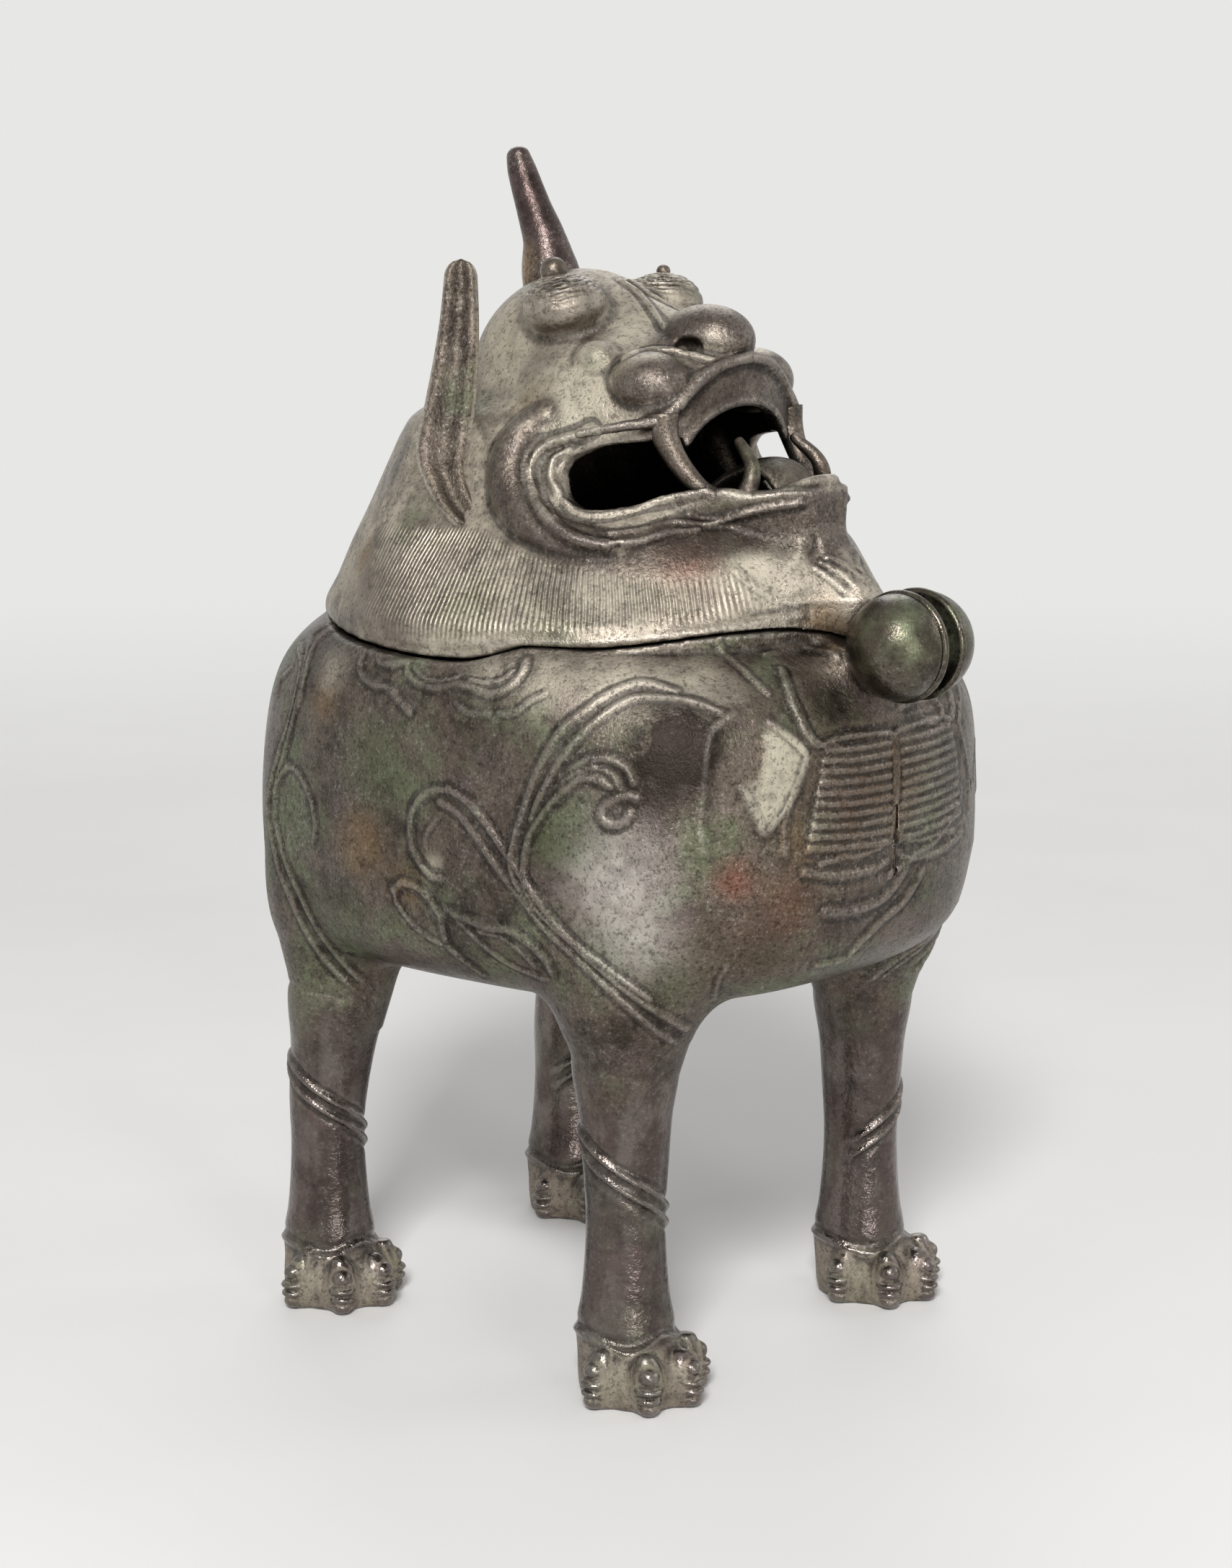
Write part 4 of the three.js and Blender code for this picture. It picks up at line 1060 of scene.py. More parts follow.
def head_base(step):
    """The main forms of the head, whole: collar, skull, brow, muzzle, nose, cheeks, jaw and neck."""
    field = Field((0, -100, HEAD_LOW[2] - 9), (HEAD_HIGH[0] + 6, HEAD_HIGH[1] + 6, 304), step)
    p = field.everywhere()
    field.value = collar(p)
    field.add_ellipsoid((0, 9.5, 266), (31, 31, 30.5), 11.0)
    field.value = join(field.value, lofted(p, step, MUZZLE), 5.0)
    field.value = join(field.value, lofted(p, step, JAW), 3.0)
    field.add_ellipsoid((0, -64, 213), (21, 22, 15), 9.0)
    field.add_tube([(0, -72, 214), (0, -86, 210)], [12.0, 8.0], 6.0)
    field.add_ellipsoid((20.6, -2.4, 286.4), (11.4, 11.4, 9.2), 3.6)
    field.add_ellipsoid((21.8, 0.0, 291.2), (5.0, 5.0, 3.6), 2.0)
    field.add_tube([(0, 14, 288), (0, 3, 287.3), (0, -8, 283), (0, -20, 277)], [6.0, 6.5, 8.0, 9.0], 5.0)
    field.add_tube([(12.5, 6, 288.5), (12.2, -1, 287.5), (11.4, -7, 283), (10.4, -12, 279.5)], 2.2, 2.0)
    field.add_ellipsoid((0, -35.5, 278), (11.5, 14.0, 9.6), 2.0)
    return field


def swellings(field, caster):
    """Adds what is placed by the photograph: the thick roll round the corner of the mouth and the puffs above it."""
    roll = mirrored(caster.line(MOUTH_ROLL, 4))
    inward = np.array([0.0, -20.0, 245.0]) - roll
    roll = roll + inward / np.linalg.norm(inward, axis=1)[:, None] * 2.6
    field.add_tube(roll, ROLL_RADII, 1.2)
    for pixel, radii, sink, blend in PUFFS:
        spot = mirrored(caster.line([pixel, pixel], 1)[0])
        inward = np.array([0.0, -14.0, 250.0]) - spot
        field.add_ellipsoid(spot + inward / np.linalg.norm(inward) * sink, radii, blend)


def head_piece(settings):
    solid = head_base(2.0)
    first = Caster(*solid.surface())
    swellings(solid, first)
    caster = Caster(*solid.surface())
    step = settings.grid
    field = head_base(step)
    p = field.everywhere()
    wall = settings.wall
    hollow = np.minimum(collar(p, wall), ellipsoid(p, (0, 9.5, 266), (31 - wall, 31 - wall, 30.5 - wall)))
    hollow = np.minimum(hollow, lofted(p, step, MUZZLE, wall))
    hollow = np.minimum(hollow, lofted(p, step, JAW, wall, 8.0))
    behind_lip = FRONT_FACE[0] + 5.0 + FRONT_FACE[1] * p[0] ** 2 - p[1]
    hollow = np.where(p[2] > 246.0, np.maximum(hollow, behind_lip), hollow)
    field.value = carve(field.value, hollow, 1.2)
    y, z = np.broadcast_arrays(p[1], p[2])
    slot = polygon_distance(y, z, smooth_line(MOUTH_SIDE + MOUTH_SIDE[:1], 3)[:-1].tolist())
    field.value = carve(field.value, slot + 0 * p[0], 1.0)
    front = np.maximum(p[1] - FRONT_FACE[0] - FRONT_FACE[1] * p[0] ** 2, np.abs(p[2] - 259.2) - 16.4)
    field.value = carve(field.value, front, 1.0)
    arch = (np.sqrt((p[0] / ARCH_HALF_WIDTH) ** 2 + ((p[2] - ARCH_MIDDLE_Z) / ARCH_HALF_HEIGHT) ** 2) - 1) * 17.0
    arch = np.maximum(np.maximum(arch, p[1] - ARCH_BACK), 241.0 - p[2])
    field.value = carve(field.value, arch, 1.5)
    swellings(field, first)
    field.value = carve(field.value, slot + 0 * p[0], 1.0)
    field.add_tube(smooth_line(UPPER_LIP, 3), [1.7, 1.8, 1.8, 1.7, 1.3], 1.0)
    field.add_tube(smooth_line(LOWER_LIP, 3), [1.6, 1.6, 1.6, 1.4, 1.2], 0.8)
    turn = np.radians(np.linspace(0, 70, 12))
    rim = np.stack([(ARCH_HALF_WIDTH + 0.8) * np.sin(turn), -49.0 + 0.0083 * (ARCH_HALF_WIDTH * np.sin(turn)) ** 2,
                    ARCH_MIDDLE_Z + (ARCH_HALF_HEIGHT + 0.8) * np.cos(turn)], 1)
    field.add_tube(rim, 1.2, 1.2)
    field.cut_ellipsoid((10.8, -38, 276.5), (2.4, 4.2, 2.4), 1.0)
    bell = np.sqrt(((p[1] - HINGE_Y) / 15.2) ** 2 + ((p[2] - HINGE_Z) / 15.2) ** 2 + (p[0] / 19.8) ** 2)
    field.value = carve(field.value, (bell - 1) * 15.2, 0.8)
    field.value = np.maximum(field.value, parting_height(p[1]) + 0.35 - p[2])
    points, faces = field.surface()
    points = relaxed(points, faces, 2)
    normals = normals_of(points, faces)
    lines = [(caster.line(px), width, rise) for px, width, rise in HEAD_LINES + MOUTH_RIDGES]
    height = relief_height(points, lines)
    for side in (-1, 1):
        d = np.linalg.norm(points - np.array([side * 22.0, -1.0, 296.0]), axis=1)
        sway = 0.5 * np.sin(points[:, 0] * 0.9 + points[:, 1] * 0.7) + 0.4 * np.sin(points[:, 1] * 1.7)
        height += 0.2 * np.cos(2 * np.pi * (d + sway) / 2.2) * smooth_step(15.0, 11.0, d) * smooth_step(3.5, 4.5, d)
    points = points + normals * height[:, None]
    marks = marks_of(points, faces)
    border = caster.line(JAW_BORDER)
    round_head = np.abs(np.arctan2(points[:, 0], -(points[:, 1] - RIM[2])))
    border_angle = np.abs(np.arctan2(border[:, 0], -(border[:, 1] - RIM[2])))
    order = np.argsort(border_angle)
    top = np.interp(round_head, border_angle[order], border[order, 2])
    comb = smooth_step(1.0, -2.5, points[:, 2] - top)
    comb *= smooth_step(3.0, 9.0, points[:, 2] - parting_height(points[:, 1]))
    marks["comb"] = comb * smooth_step(2.6, 2.2, round_head) * smooth_step(0.25, 0.5, round_head)
    # Umber mark: partly the dark brown of roll, nose, cheeks and lips, partly painted shade in creases and recesses, on
    # surfaces facing into the mouth and on the arch's face.
    umber_and_shade = np.zeros(len(points))
    for pixels, width in UMBER_AND_SHADE_LINES:
        line = caster.line(pixels, 3)
        for side in (line, mirrored(line)):
            umber_and_shade = np.maximum(umber_and_shade, smooth_step(width, 0.35 * width, line_distance(points, side)))
    inside = smooth_step(0.4, -0.3, (normals * (points - np.array([0.0, -10.0, 245.0]))).sum(1) / 30.0)
    face_gap = np.abs(points[:, 1] - FRONT_FACE[0] - FRONT_FACE[1] * points[:, 0] ** 2)
    arch_face = smooth_step(2.6, 1.2, face_gap) * smooth_step(243.0, 246.0, points[:, 2])
    marks["umber_and_shade"] = np.maximum(np.maximum(umber_and_shade, inside), arch_face)
    return thinned(make_mesh("head_bronze", points, faces, marks), settings.most), caster


def comb_lines(f):
    """Fine combed hair of the mane: a sine of the angle round the collar, where the mesh marks it. Round each
    eye bead a sine of the distance from it."""
    parts = f.node("ShaderNodeSeparateXYZ", {}, {0: f.position}, "X")
    along = Socket(f, parts.socket.node.outputs["Y"]) - RIM[2] / MM
    angle = f.node("ShaderNodeMath", {"operation": "ARCTAN2"}, {0: parts, 1: along})
    sway = f.noise(12.0, 2.0, 0.5, 4.4) * 5.0
    height = (angle * 290.0 + sway).sine() * f.attribute("comb") * 0.9
    for x in (-22.0, 22.0):
        away = f.distance((x, -1.0, 296.0))
        ring = ((away + sway * 0.35) * 4.6).sine() * (1.0 - away.ramp(10.0, 17.0)) * away.ramp(3.0, 5.0)
        height = height + ring * 0.7
    return height


# Property groups
class BodySettings(bpy.types.PropertyGroup):
    grid: FloatProperty(name="Grid", description="Mesh step of bowl and head in millimetres", default=0.75, min=0.5)
    leg_grid: FloatProperty(name="Leg grid", description="Mesh step of the legs in millimetres", default=0.6, min=0.4)
    wall: FloatProperty(name="Wall", description="Casting thickness in millimetres", default=4.5, min=2.0)
    around: IntProperty(name="Sides", description="Sides of swept bars", default=40, min=8)
    most: IntProperty(name="Most triangles", description="Limit for one piece", default=188000, min=1000)


def colour_property(name, description, default):
    return FloatVectorProperty(name=name, description=description, default=default, size=3, subtype="COLOR",
                               min=0.0, max=1.0)


class FinishSettings(bpy.types.PropertyGroup):
    # Pits and some dark patches on the chest; also painted shade in hollows and grooves, in the shoulder's recess and
    # beside the near eye bead.
    dark: colour_property("Dark bronze", "Colour in hollows and pits", (0.022, 0.017, 0.014))
    brown: colour_property("Brown bronze", "Main colour of the metal", (0.14, 0.113, 0.088))
    grey: colour_property("Dusty bronze", "Main colour of the dusty head", (0.34, 0.295, 0.235))
    leg: colour_property("Leg bronze", "Main colour of the legs", (0.088, 0.062, 0.056))
    purple: colour_property("Purple bronze", "Purple tinge of the metal", (0.13, 0.092, 0.088))
    rubbed_and_highlight: colour_property("Rubbed bronze", "Colour of rubbed places", (0.5, 0.46, 0.42))
    # Rubbed metal, and also painted highlight: the pale speckles, the streaks on the legs and the bright patch on the
    # shoulder.
    green: colour_property("Patina", "Green patina", (0.1, 0.125, 0.06))
    # Pale dust; the spots along the body's rim use it for a painted highlight.
    dust: colour_property("Dust", "Pale dust in hollows", (0.5, 0.445, 0.35))
    clay: colour_property("Clay", "Brown dust on the paws", (0.31, 0.26, 0.2))
    cream: colour_property("Cream", "Pale encrusted leaf at the chest", (0.5, 0.46, 0.35))
    ochre: colour_property("Ochre", "Rusty earth stains", (0.22, 0.14, 0.065))
    rust: colour_property("Rust", "Brown earth at chest and belly", (0.12, 0.078, 0.042))
    red: colour_property("Red", "Red copper stains", (0.16, 0.065, 0.042))
    # Partly the dark brown of nose, cheeks, lips and mouth roll, partly painted shade in the face's creases and
    # recesses and inside the mouth.
    umber_and_shade: colour_property("Umber", "Dark rubbed brown of nose, cheeks and lips", (0.075, 0.056, 0.046))


class StageSettings(bpy.types.PropertyGroup):
    floor: colour_property("Floor", "Colour of the floor", (0.9, 0.89, 0.875))
    backdrop: colour_property("Backdrop", "Colour behind the floor", (0.8, 0.8, 0.79))
    key: FloatProperty(name="Key light", description="Power of the main lamp", default=54.0, unit="POWER")
    fill: FloatProperty(name="Fill light", description="Power of each side lamp", default=16.0, unit="POWER")
    around: FloatProperty(name="World light", description="Strength of the light from all around", default=0.3)


def shapes():
    return bpy.context.scene.censer_body


def finish_settings():
    return bpy.context.scene.censer_finish


def vessel_bronze(name, s, spots, painted):
    """The bronze of body and legs, the same on both so that no seam shows between them."""
    return bronze(name, s, dust=0.4, patina=0.62, polish=0.5, purple=0.35, grainy=0.66, rough=0.32, relief=True,
                  spots=spots, painted=painted, lower=(s.leg, 76.0, 104.0))


class CENSER_OT_body(bpy.types.Operator):
    """Hollow squared barrel of the body with its relief lines"""
    bl_idname = "censer.body"
    bl_label = "Body"

    def execute(self, context):
        s = finish_settings()
        piece, caster = body_piece(shapes())
        spots = placed(caster, [
            (s.rust, (1180, 1120), 34.0, 0.95), (s.rust, (1060, 1290), 30.0, 0.6), (s.rust, (1110, 1400), 20.0, 0.5),
            # Painted light: the pale dust spots along the rim, on this line and the next, are a painted highlight of
            # the light from above, and the two dark spots on the next line are painted shade in the shoulder's recess.
            (s.dust, (760, 940), 17.0, 0.75), (s.dust, (860, 940), 19.0, 0.95), (s.dust, (960, 950), 18.0, 0.8),
            (s.dust, (680, 930), 12.0, 0.5), (s.dark, (940, 1035), 24.0, 1.6), (s.dark, (905, 1085), 16.0, 0.9),
            # The two spots of the rubbed colour here are a painted highlight on the shoulder.
            (s.rubbed_and_highlight, (850, 1225), 24.0, 0.8), (s.rubbed_and_highlight, (890, 1310), 18.0, 0.5), (s.green, (770, 1160), 16.0, 0.6),
            (s.green, (520, 1060), 20.0, 0.7), (s.green, (480, 1280), 18.0, 0.6), (s.green, (930, 1370), 14.0, 0.5),
            (s.ochre, (500, 1170), 15.0, 0.9), (s.ochre, (450, 970), 10.0, 0.6), (s.ochre, (560, 1230), 11.0, 0.6),
            (s.red, (1020, 1222), 9.0, 1.0), (s.red, (1090, 1260), 15.0, 0.5), (s.red, (1180, 1100), 14.0, 0.35),
            (s.dark, (1190, 1090), 17.0, 0.4), (s.dark, (1060, 1320), 14.0, 0.4), (s.ochre, (1110, 1170), 10.0, 0.5),
            (s.cream, (600, 1200), 6.0, 0.6), (s.green, (400, 1120), 12.0, 0.6), (s.dust, (460, 930), 10.0, 0.5),
            (s.rust, (1245, 1090), 22.0, 0.8), (s.green, (1135, 1145), 8.0, 0.6), (s.dust, (1128, 1150), 5.0, 0.5),
        ])
        material = vessel_bronze("patinated_bronze", s, spots, [("cream", s.cream, 0.85)])
        dress(piece, "vessel", material, "patinated_bronze", "body_bowl")
        return {"FINISHED"}


class CENSER_OT_legs(bpy.types.Operator):
    """The four legs with their paws"""
    bl_idname = "censer.legs"
    bl_label = "Legs"

    def execute(self, context):
        s = finish_settings()
        material = vessel_bronze("worn_bronze", s, (), [("dusty", s.clay, 0.6)])
        for end in ("front", "rear"):
            for side, sx in (("right", -1), ("left", 1)):
                piece = leg_piece(f"leg_{end}_{side}_bronze", end, sx, shapes())
                dress(piece, "vessel", material, "worn_bronze", f"leg_{end}_{side}")
        return {"FINISHED"}


class CENSER_OT_tail(bpy.types.Operator):
    """The bushy tail that stands up along the rump"""
    bl_idname = "censer.tail"
    bl_label = "Tail"

    def execute(self, context):
        line = smooth_line([(0, 86, 117), (0, 101, 132), (0, 112.4, 152), (0, 108.5, 170), (0, 99, 187)], 16)
        t = np.linspace(0, 1, len(line))
        stations = np.linspace(0, 1, 7)
        width = np.interp(t, stations, [9.4, 12.6, 13.6, 12.3, 9.6, 6.6, 4.9])
        depth = np.interp(t, stations, [4.8, 5.4, 5.6, 5.3, 4.5, 3.4, 2.1])
        ends = rounded_ends(t, 0.03, 0.12)
        piece = bar_piece("tail_bronze", line, (1, 0, 0), width * ends, depth * ends, 96)
        grooved(piece, line, 15.0, 0.45)
        material = bronze("tail_bronze", finish_settings(), dust=0.4, patina=0.6, polish=0.5)
        dress(piece, "vessel", material, "dark_bronze", "tail")
        return {"FINISHED"}


def grooved(piece, line, count, depth):
    """Cuts grooves along a bar: its points move in by a cosine of the angle round the middle line."""
    mesh = piece.data
    flat = np.empty(len(mesh.vertices) * 3, np.float32)
    mesh.vertices.foreach_get("co", flat)
    points = flat.reshape(-1, 3).astype(float) * MM
    span = np.abs(points[:, None, 2] - line[None, :, 2]).argmin(1)
    offset = points - line[span]
    angle = np.arctan2(offset[:, 0], np.hypot(offset[:, 1], 0.3) * np.sign(offset[:, 1] + 1e-9))
    reach = np.linalg.norm(offset, axis=1)
    points -= offset / np.maximum(reach, 1.0)[:, None] * (depth * (0.5 + 0.5 * np.cos(angle * count)))[:, None]
    mesh.vertices.foreach_set("co", (points / MM).astype(np.float32).ravel())
    mesh.update()


def bell_outline():
    """Half a round bell as [x, radius]: cap, raised lip at the slit, and the hollow behind it."""
    slit, half, radius, lip = 2.6, 18.5, 14.0, 0.8
    a = np.linspace(0.0, np.pi / 2, 28)
    cap = [(5.0 + (half - 5.0) * math.cos(t), radius * math.sin(t)) for t in a]
    b = np.linspace(0.0, np.pi, 13)
    rim = [(slit + 1.2 + 1.2 * math.cos(t), radius - 0.4 + (lip + 0.4) * math.sin(t)) for t in b]
    mouth = [(slit, radius - 2.2), (slit + 0.1, 10.2), (slit + 0.2, 9.8), (slit + 0.2, 0.0)]
    return np.array(cap + rim + mouth)


class CENSER_OT_bell(bpy.types.Operator):
    """The two halves of the round bell with their necks, and the pin between them"""
    bl_idname = "censer.bell"
    bl_label = "Bell"

    def execute(self, context):
        s = finish_settings()
        material = bronze("bell_bronze", s, base=(0.085, 0.072, 0.052), dust=0.08, patina=0.55, polish=0.7, purple=0.1,
                          grainy=0.15, rough=0.22)
        outline = bell_outline()
        sides = 96
        a = np.linspace(0, 2 * np.pi, sides, endpoint=False)
        for side, sx in (("right", -1), ("left", 1)):
            x = np.broadcast_to(outline[:, 0:1], (len(outline), sides)) * sx
            y = HINGE_Y + outline[:, 1:2] * np.cos(a)
            z = HINGE_Z + outline[:, 1:2] * np.sin(a)
            points = np.stack([x, y, z], -1).reshape(-1, 3)
            index = np.arange(len(points)).reshape(len(outline), sides)
            nxt = np.roll(index, -1, 1)
            quads = np.stack([index[:-1], nxt[:-1], nxt[1:], index[1:]], -1).reshape(-1, 4)
            piece = make_mesh(f"bell_half_{side}_bronze", points, quads)
            weld(piece)
            neck_line = smooth_line([(sx * 7.0, HINGE_Y + 9, 195.5), (sx * 7.2, -90, 194.5), (sx * 7.6, -83, 194.5)], 6)
            wide = np.linspace(3.6, 4.4, len(neck_line))
            neck = bar_piece(f"bell_neck_{side}", neck_line, (1, 0, 0), wide, wide * 0.95, 24)
            dress(piece, "vessel", material, "worn_bronze", f"bell_half_{side}")
            dress(neck, "vessel", material, "worn_bronze")
        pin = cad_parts["hinge_pin"]
        pin.data.materials.clear()
        pin.data.materials.append(bronze("hinge_pin_bronze", s, polish=0.6))
        return {"FINISHED"}


class CENSER_OT_head(bpy.types.Operator):
    """Hollow head: collar, skull, muzzle, mouth and jaw"""
    bl_idname = "censer.head"
    bl_label = "Head"

    def execute(self, context):
        s = finish_settings()
        piece, caster = head_piece(shapes())
        # The umber spots below darken creases and recesses of the face as painted shade, and the small dark spot beside
        # the near eye bead is painted shade in its socket.
        spots = placed(caster, [
            (s.cream, (740, 520), 26.0, 0.5), (s.cream, (690, 470), 20.0, 0.6), (s.cream, (880, 450), 20.0, 0.55),
            (s.cream, (790, 560), 20.0, 0.7), (s.umber_and_shade, (800, 430), 15.0, 0.5), (s.umber_and_shade, (590, 800), 24.0, 0.5),
            (s.umber_and_shade, (520, 800), 22.0, 0.6), (s.umber_and_shade, (540, 870), 18.0, 0.5), (s.ochre, (505, 770), 8.0, 0.7),
            (s.dust, (1050, 790), 15.0, 0.8), (s.ochre, (1140, 865), 10.0, 0.9), (s.green, (640, 850), 16.0, 0.5),
            (s.green, (824, 494), 6.5, 0.6), (s.dust, (850, 810), 20.0, 0.6), (s.dark, (767, 398), 6.0, 0.9),
            (s.green, (760, 880), 14.0, 0.4), (s.umber_and_shade, (748, 500), 15.0, 0.5), (s.red, (950, 772), 14.0, 0.95), (s.ochre, (735, 560), 11.0, 0.45), (s.dust, (640, 900), 14.0, 0.4),
        ])
        spots.append((s.ochre, (0.0, 16.0, 291.0), 11.0, 0.6))
        material = bronze("dusty_bronze", s, base=s.grey, dust=0.9, patina=0.3, polish=0.35, purple=0.05, grainy=0.55,
                          relief=True, spots=spots, painted=[("umber_and_shade", s.umber_and_shade, 0.95)], fine=comb_lines)
        dress(piece, "head", material, "dusty_bronze", "head_shell")
        return {"FINISHED"}


class CENSER_OT_horn(bpy.types.Operator):
    """The single horn on the forehead"""
    bl_idname = "censer.horn"
    bl_label = "Horn"

    def execute(self, context):
        s = finish_settings()
        line = smooth_line([(0, 19, 286), (0, 22, 297), (0, 24, 305), (0, 27.9, 313.5), (0, 32.4, 324), (0, 34.6, 330.5)], 12)
        t = np.linspace(0, 1, len(line))
        radius = np.interp(t, np.linspace(0, 1, 6), [9.2, 8.0, 6.1, 5.0, 4.1, 2.8]) * rounded_ends(t, 0.01, 0.07)
        piece = bar_piece("horn_bronze", line, (1, 0, 0), radius, radius, shapes().around)
        material = bronze("horn_bronze", s, base=s.leg, dust=0.1, polish=0.9, patina=0.1, purple=0.4, grainy=0.3,
                          rough=0.27, spots=[(s.ochre, (-6, 28, 297), 11.0, 1.5)])
        dress(piece, "head", material, "worn_bronze", "horn")
        return {"FINISHED"}


EAR_RIGHT = [(-53.2, 2.2, 229.5), (-53, 9.4, 237), (-51, 14.9, 247), (-45, 17.2, 262), (-40, 18.9, 281),
             (-37.8, 19.9, 299.5)]
EAR_LEFT = [(53, 9, 231), (47, 17, 244), (41.5, 25, 258), (37, 31, 271), (35, 35, 283)]


class CENSER_OT_ears(bpy.types.Operator):
    """The long leaf-shaped ears with a hollow down the front"""
    bl_idname = "censer.ears"
    bl_label = "Ears"

    def execute(self, context):
        s = finish_settings()
        material = bronze("ear_bronze", s, dust=0.3, patina=0.3, polish=0.45, grainy=0.8, relief=True,
                          painted=[("proud", s.dust, 0.6)])
        for side, route, sx in (("right", EAR_RIGHT, 1), ("left", EAR_LEFT, -1)):
            line = smooth_line(route, 22)
            t = np.linspace(0, 1, len(line))
            width = np.interp(t, [0, 0.14, 0.3, 0.42, 0.6, 0.8, 1.0], [3.6, 4.9, 5.8, 7.4, 6.9, 5.5, 4.2])
            ends = rounded_ends(t, 0.05, 0.05)
            across = (-0.657, 0.754 * sx, 0)
            piece = bar_piece(f"ear_{side}_bronze", line, across, width * ends, 3.2 * ends, 64, 0.85)
            dress(piece, "head", material, "dark_bronze", f"ear_{side}")
        return {"FINISHED"}


class CENSER_OT_eyes(bpy.types.Operator):
    """Bead pupils on the swellings of the eyes"""
    bl_idname = "censer.eyes"
    bl_label = "Eyes"

    def execute(self, context):
        s = finish_settings()
        material = bronze("bead_bronze", s, dust=0.3, patina=0.0, polish=0.9, purple=0.2, grainy=0.2)
        for side, sx in (("right", -1), ("left", 1)):
            aim = np.array([sx * 0.12, -0.1, 1.0])
            aim /= np.linalg.norm(aim)
            ball = 3.7 if side == "right" else 2.0
            centre = np.array([-22.0, 0.4, 296.4]) if side == "right" else np.array([22.0, -1.3, 295.8])
            along = np.linspace(-7.5, ball, 36)
            round_part = np.sqrt(np.clip(ball**2 - np.minimum(along, ball - 0.01) ** 2, 0.0, None))
            width = np.where(along > -0.7 * ball, round_part, 2.0)
            piece = bar_piece(f"eye_{side}_bronze", centre + aim * along[:, None], (1, 0, 0), width, width, 28)
            dress(piece, "head", material, "worn_bronze", f"eye_stud_{side}")
        return {"FINISHED"}


class CENSER_OT_mouth(bpy.types.Operator):
    """Tongue, fangs, front teeth and the hinge tongue"""
    bl_idname = "censer.mouth"
    bl_label = "Mouth"

    def execute(self, context):
        s = finish_settings()
        material = bronze("mouth_bronze", s, dust=0.5, patina=0.1, polish=0.6, grainy=0.5)
        line = smooth_line(TONGUE, 10)
        t = np.linspace(0, 1, len(line))
        ends = rounded_ends(t, 0.05, 0.12)
        tongue = bar_piece("tongue_bronze", line, (1, 0, 0), 8.8 * ends, 2.8 * ends, 32)
        dress(tongue, "head", material, "dark_bronze", "tongue")
        for side, sx in (("right", -1), ("left", 1)):
            fang = smooth_line(np.array(FANG) * (sx, 1, 1), 8)
            t = np.linspace(0, 1, len(fang))
            radius = np.interp(t, [0, 0.35, 0.75, 1], [4.6, 3.3, 2.4, 3.1]) * rounded_ends(t, 0.03, 0.08)
            piece = bar_piece(f"fang_{side}_bronze", fang, (1, 0, 0), radius, radius, 28)
            dress(piece, "head", material, "worn_bronze", f"fang_{side}")
            tooth = smooth_line(np.array(FRONT_TOOTH) * (sx, 1, 1), 8)
            t = np.linspace(0, 1, len(tooth))
            radius = (2.8 - 1.7 * t) * rounded_ends(t, 0.05, 0.12)
            piece = bar_piece(f"front_tooth_{side}_bronze", tooth, (1, 0, 0), radius, radius, 28)
            dress(piece, "head", material, "worn_bronze", f"front_tooth_{side}")
        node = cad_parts["hinge_tongue"]
        node.data.materials.clear()
        node.data.materials.append(bronze("lug_bronze", s, dust=0.4, spots=[(s.ochre, (-6, -88, 209), 9.0, 1.0)]))
        return {"FINISHED"}


def floor_piece(settings):
    """A wide floor with the object's shadow, that turns into the tone of the backdrop far out."""
    reach = 6.0
    mesh = bpy.data.meshes.new("floor")
    mesh.from_pydata([(-reach, -reach, 0), (reach, -reach, 0), (reach, reach, 0), (-reach, reach, 0)], [],
                     [(0, 1, 2, 3)])
    floor = bpy.data.objects.new("floor", mesh)
    bpy.context.scene.collection.objects.link(floor)
    f = Finish("floor_paint")
    tone = f.noise(160.0, 3.0, 0.5)
    pale = tuple(c * 0.97 for c in settings.floor)
    f.feed(color=f.mix(rgba(settings.floor), rgba(pale), tone.ramp(0.3, 0.7)), roughness=0.85)
    glow = f.node("ShaderNodeEmission", {}, {"Color": rgba(settings.backdrop), "Strength": 1.0})
    far = f.distance((0, 0, 0)).ramp(400.0, 1900.0) * f.seen()
    blend = f.node("ShaderNodeMixShader", {}, {0: far, 1: Socket(f, f.surface.outputs[0]), 2: glow})
    f.tree.links.new(blend.socket, f.output.inputs["Surface"])
    mesh.materials.append(f.material)


def studio_world(settings):
    """The world: the backdrop's tone for the camera and for reflections, and a weaker even light for the rest."""
    world = bpy.data.worlds.new("studio")
    world.use_nodes = True
    w = Nodes(world.node_tree)
    plain = w.node("ShaderNodeBackground", {}, {"Color": rgba((1, 1, 1)), "Strength": settings.around})
    shown = w.node("ShaderNodeBackground", {}, {"Color": rgba(settings.backdrop), "Strength": 1.0})
    both = w.node("ShaderNodeMixShader", {}, {0: w.seen(), 1: plain, 2: shown})
    end = w.tree.nodes.new("ShaderNodeOutputWorld")
    w.tree.links.new(both.socket, end.inputs["Surface"])
    bpy.context.scene.world = world


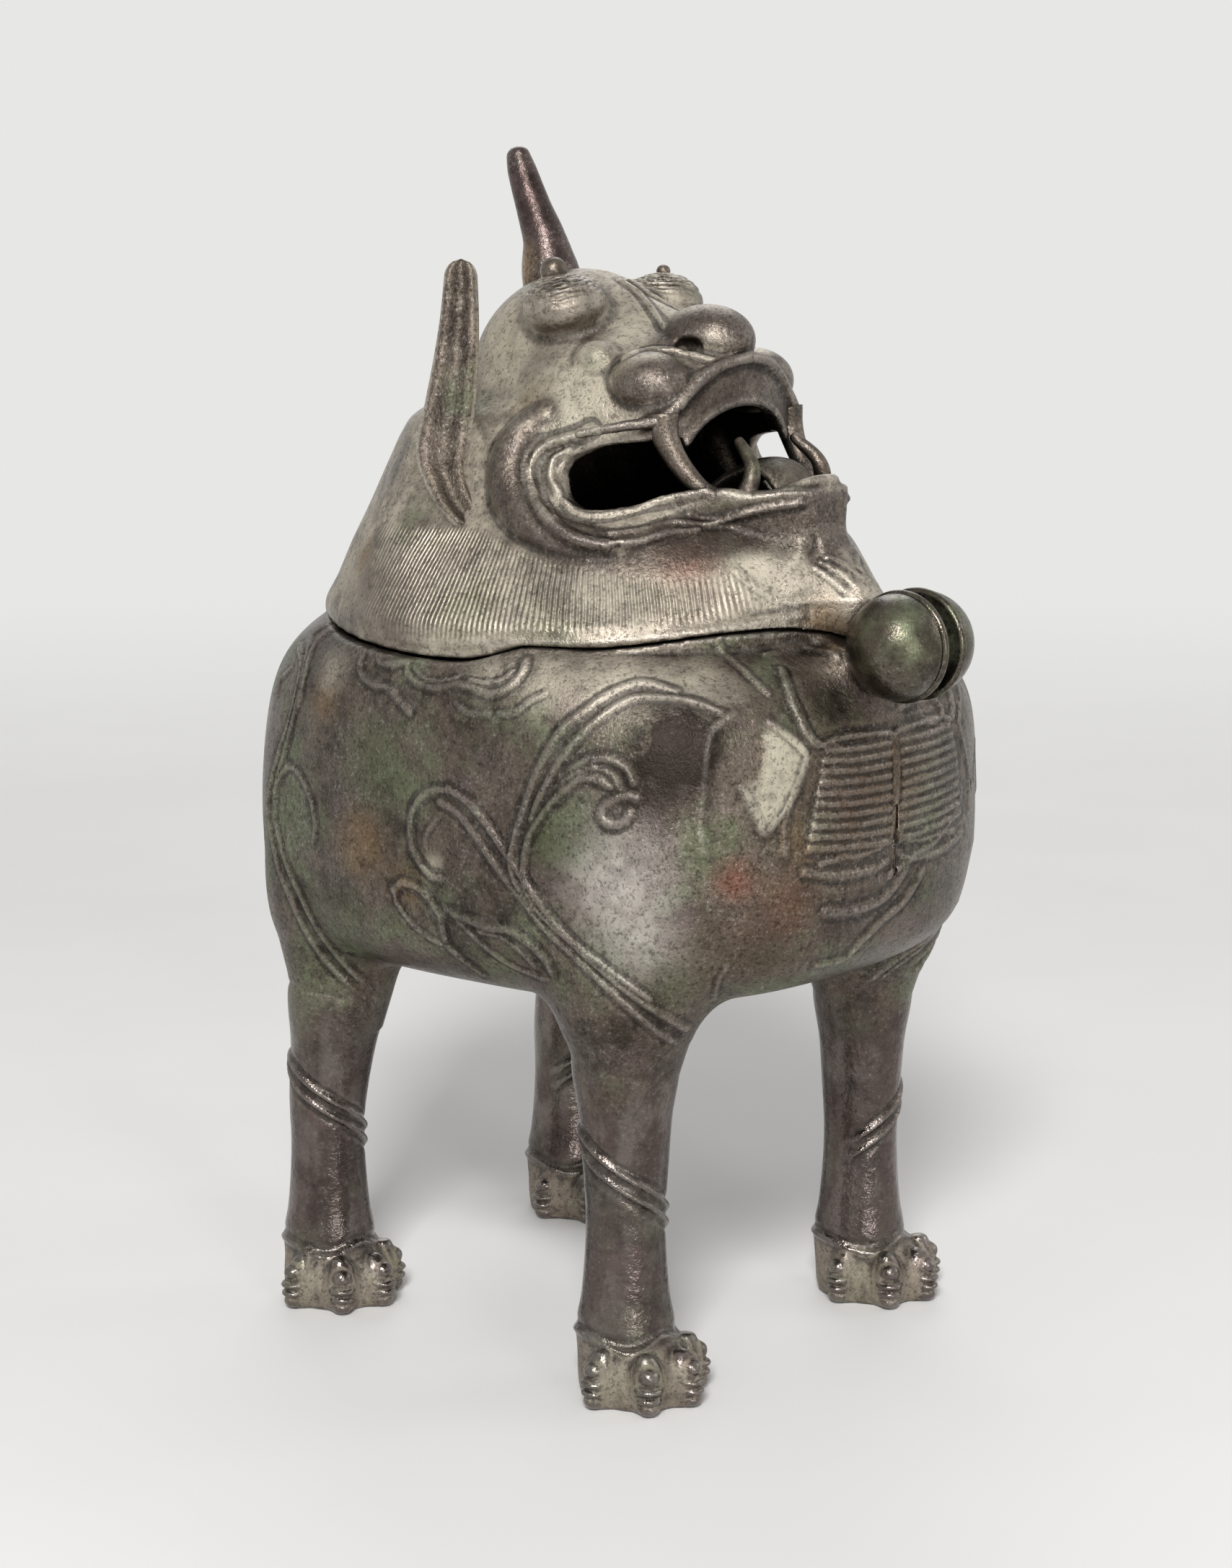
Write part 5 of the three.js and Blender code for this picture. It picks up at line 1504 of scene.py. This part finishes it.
class CENSER_OT_stage(bpy.types.Operator):
    """Floor, backdrop, lamps and the photograph's camera"""
    bl_idname = "censer.stage"
    bl_label = "Stage"

    def execute(self, context):
        s = context.scene.censer_stage
        floor_piece(s)
        studio_world(s)
        for name, place, size, power in (
            ("key_lamp", (-1.7, -1.2, 1.75), 0.6, s.key), ("fill_lamp", (-1.25, -2.7, 0.5), 0.5, s.fill),
            ("rim_lamp", (1.8, 1.6, 2.05), 1.6, s.fill), ("side_lamp", (2.4, -1.9, 1.4), 1.4, s.fill * 0.6),
        ):
            light = bpy.data.lights.new(name, "AREA")
            light.energy, light.size = power, size
            lamp = bpy.data.objects.new(name, light)
            lamp.location = place
            lamp.rotation_euler = (Vector((0, 0, 0.17)) - Vector(place)).to_track_quat("-Z", "Y").to_euler()
            context.scene.collection.objects.link(lamp)
        lens = bpy.data.cameras.new("photo_camera")
        lens.sensor_width = SENSOR
        lens.lens = FOCAL_PIXELS * SENSOR / PHOTO_HEIGHT
        camera = bpy.data.objects.new("photo_camera", lens)
        camera.location = Vector(CAMERA_PLACE / MM)
        camera.rotation_mode = "QUATERNION"
        camera.rotation_quaternion = Vector(-TOWARDS_CAMERA).to_track_quat("-Z", "Y")
        context.scene.collection.objects.link(camera)
        context.scene.camera = camera
        context.scene.view_settings.view_transform = "Standard"
        return {"FINISHED"}


class CENSER_PT_panel(bpy.types.Panel):
    """Lists the pieces of the censer"""
    bl_idname = "CENSER_PT_panel"
    bl_label = "Lion Censer"
    bl_space_type = "VIEW_3D"
    bl_region_type = "UI"
    bl_category = "Censer"

    def draw(self, context):
        for operator in OPERATORS:
            self.layout.operator(operator.bl_idname)
        for group in (context.scene.censer_body, context.scene.censer_finish, context.scene.censer_stage):
            column = self.layout.column()
            for key in group.__annotations__:
                column.prop(group, key)


OPERATORS = (CENSER_OT_stage, CENSER_OT_body, CENSER_OT_legs, CENSER_OT_tail, CENSER_OT_bell, CENSER_OT_head,
             CENSER_OT_horn, CENSER_OT_ears, CENSER_OT_eyes, CENSER_OT_mouth)
GROUPS = (("censer_body", BodySettings), ("censer_finish", FinishSettings), ("censer_stage", StageSettings))


def register():
    for name, group in GROUPS:
        bpy.utils.register_class(group)
        setattr(bpy.types.Scene, name, PointerProperty(type=group))
    for item in OPERATORS + (CENSER_PT_panel,):
        bpy.utils.register_class(item)


def unregister():
    for item in reversed(OPERATORS + (CENSER_PT_panel,)):
        bpy.utils.unregister_class(item)
    for name, group in GROUPS:
        delattr(bpy.types.Scene, name)
        bpy.utils.unregister_class(group)


def main():
    register()
    for operator in OPERATORS:
        group, name = operator.bl_idname.split(".")
        getattr(getattr(bpy.ops, group), name)()


if __name__ == "__main__":
    main()
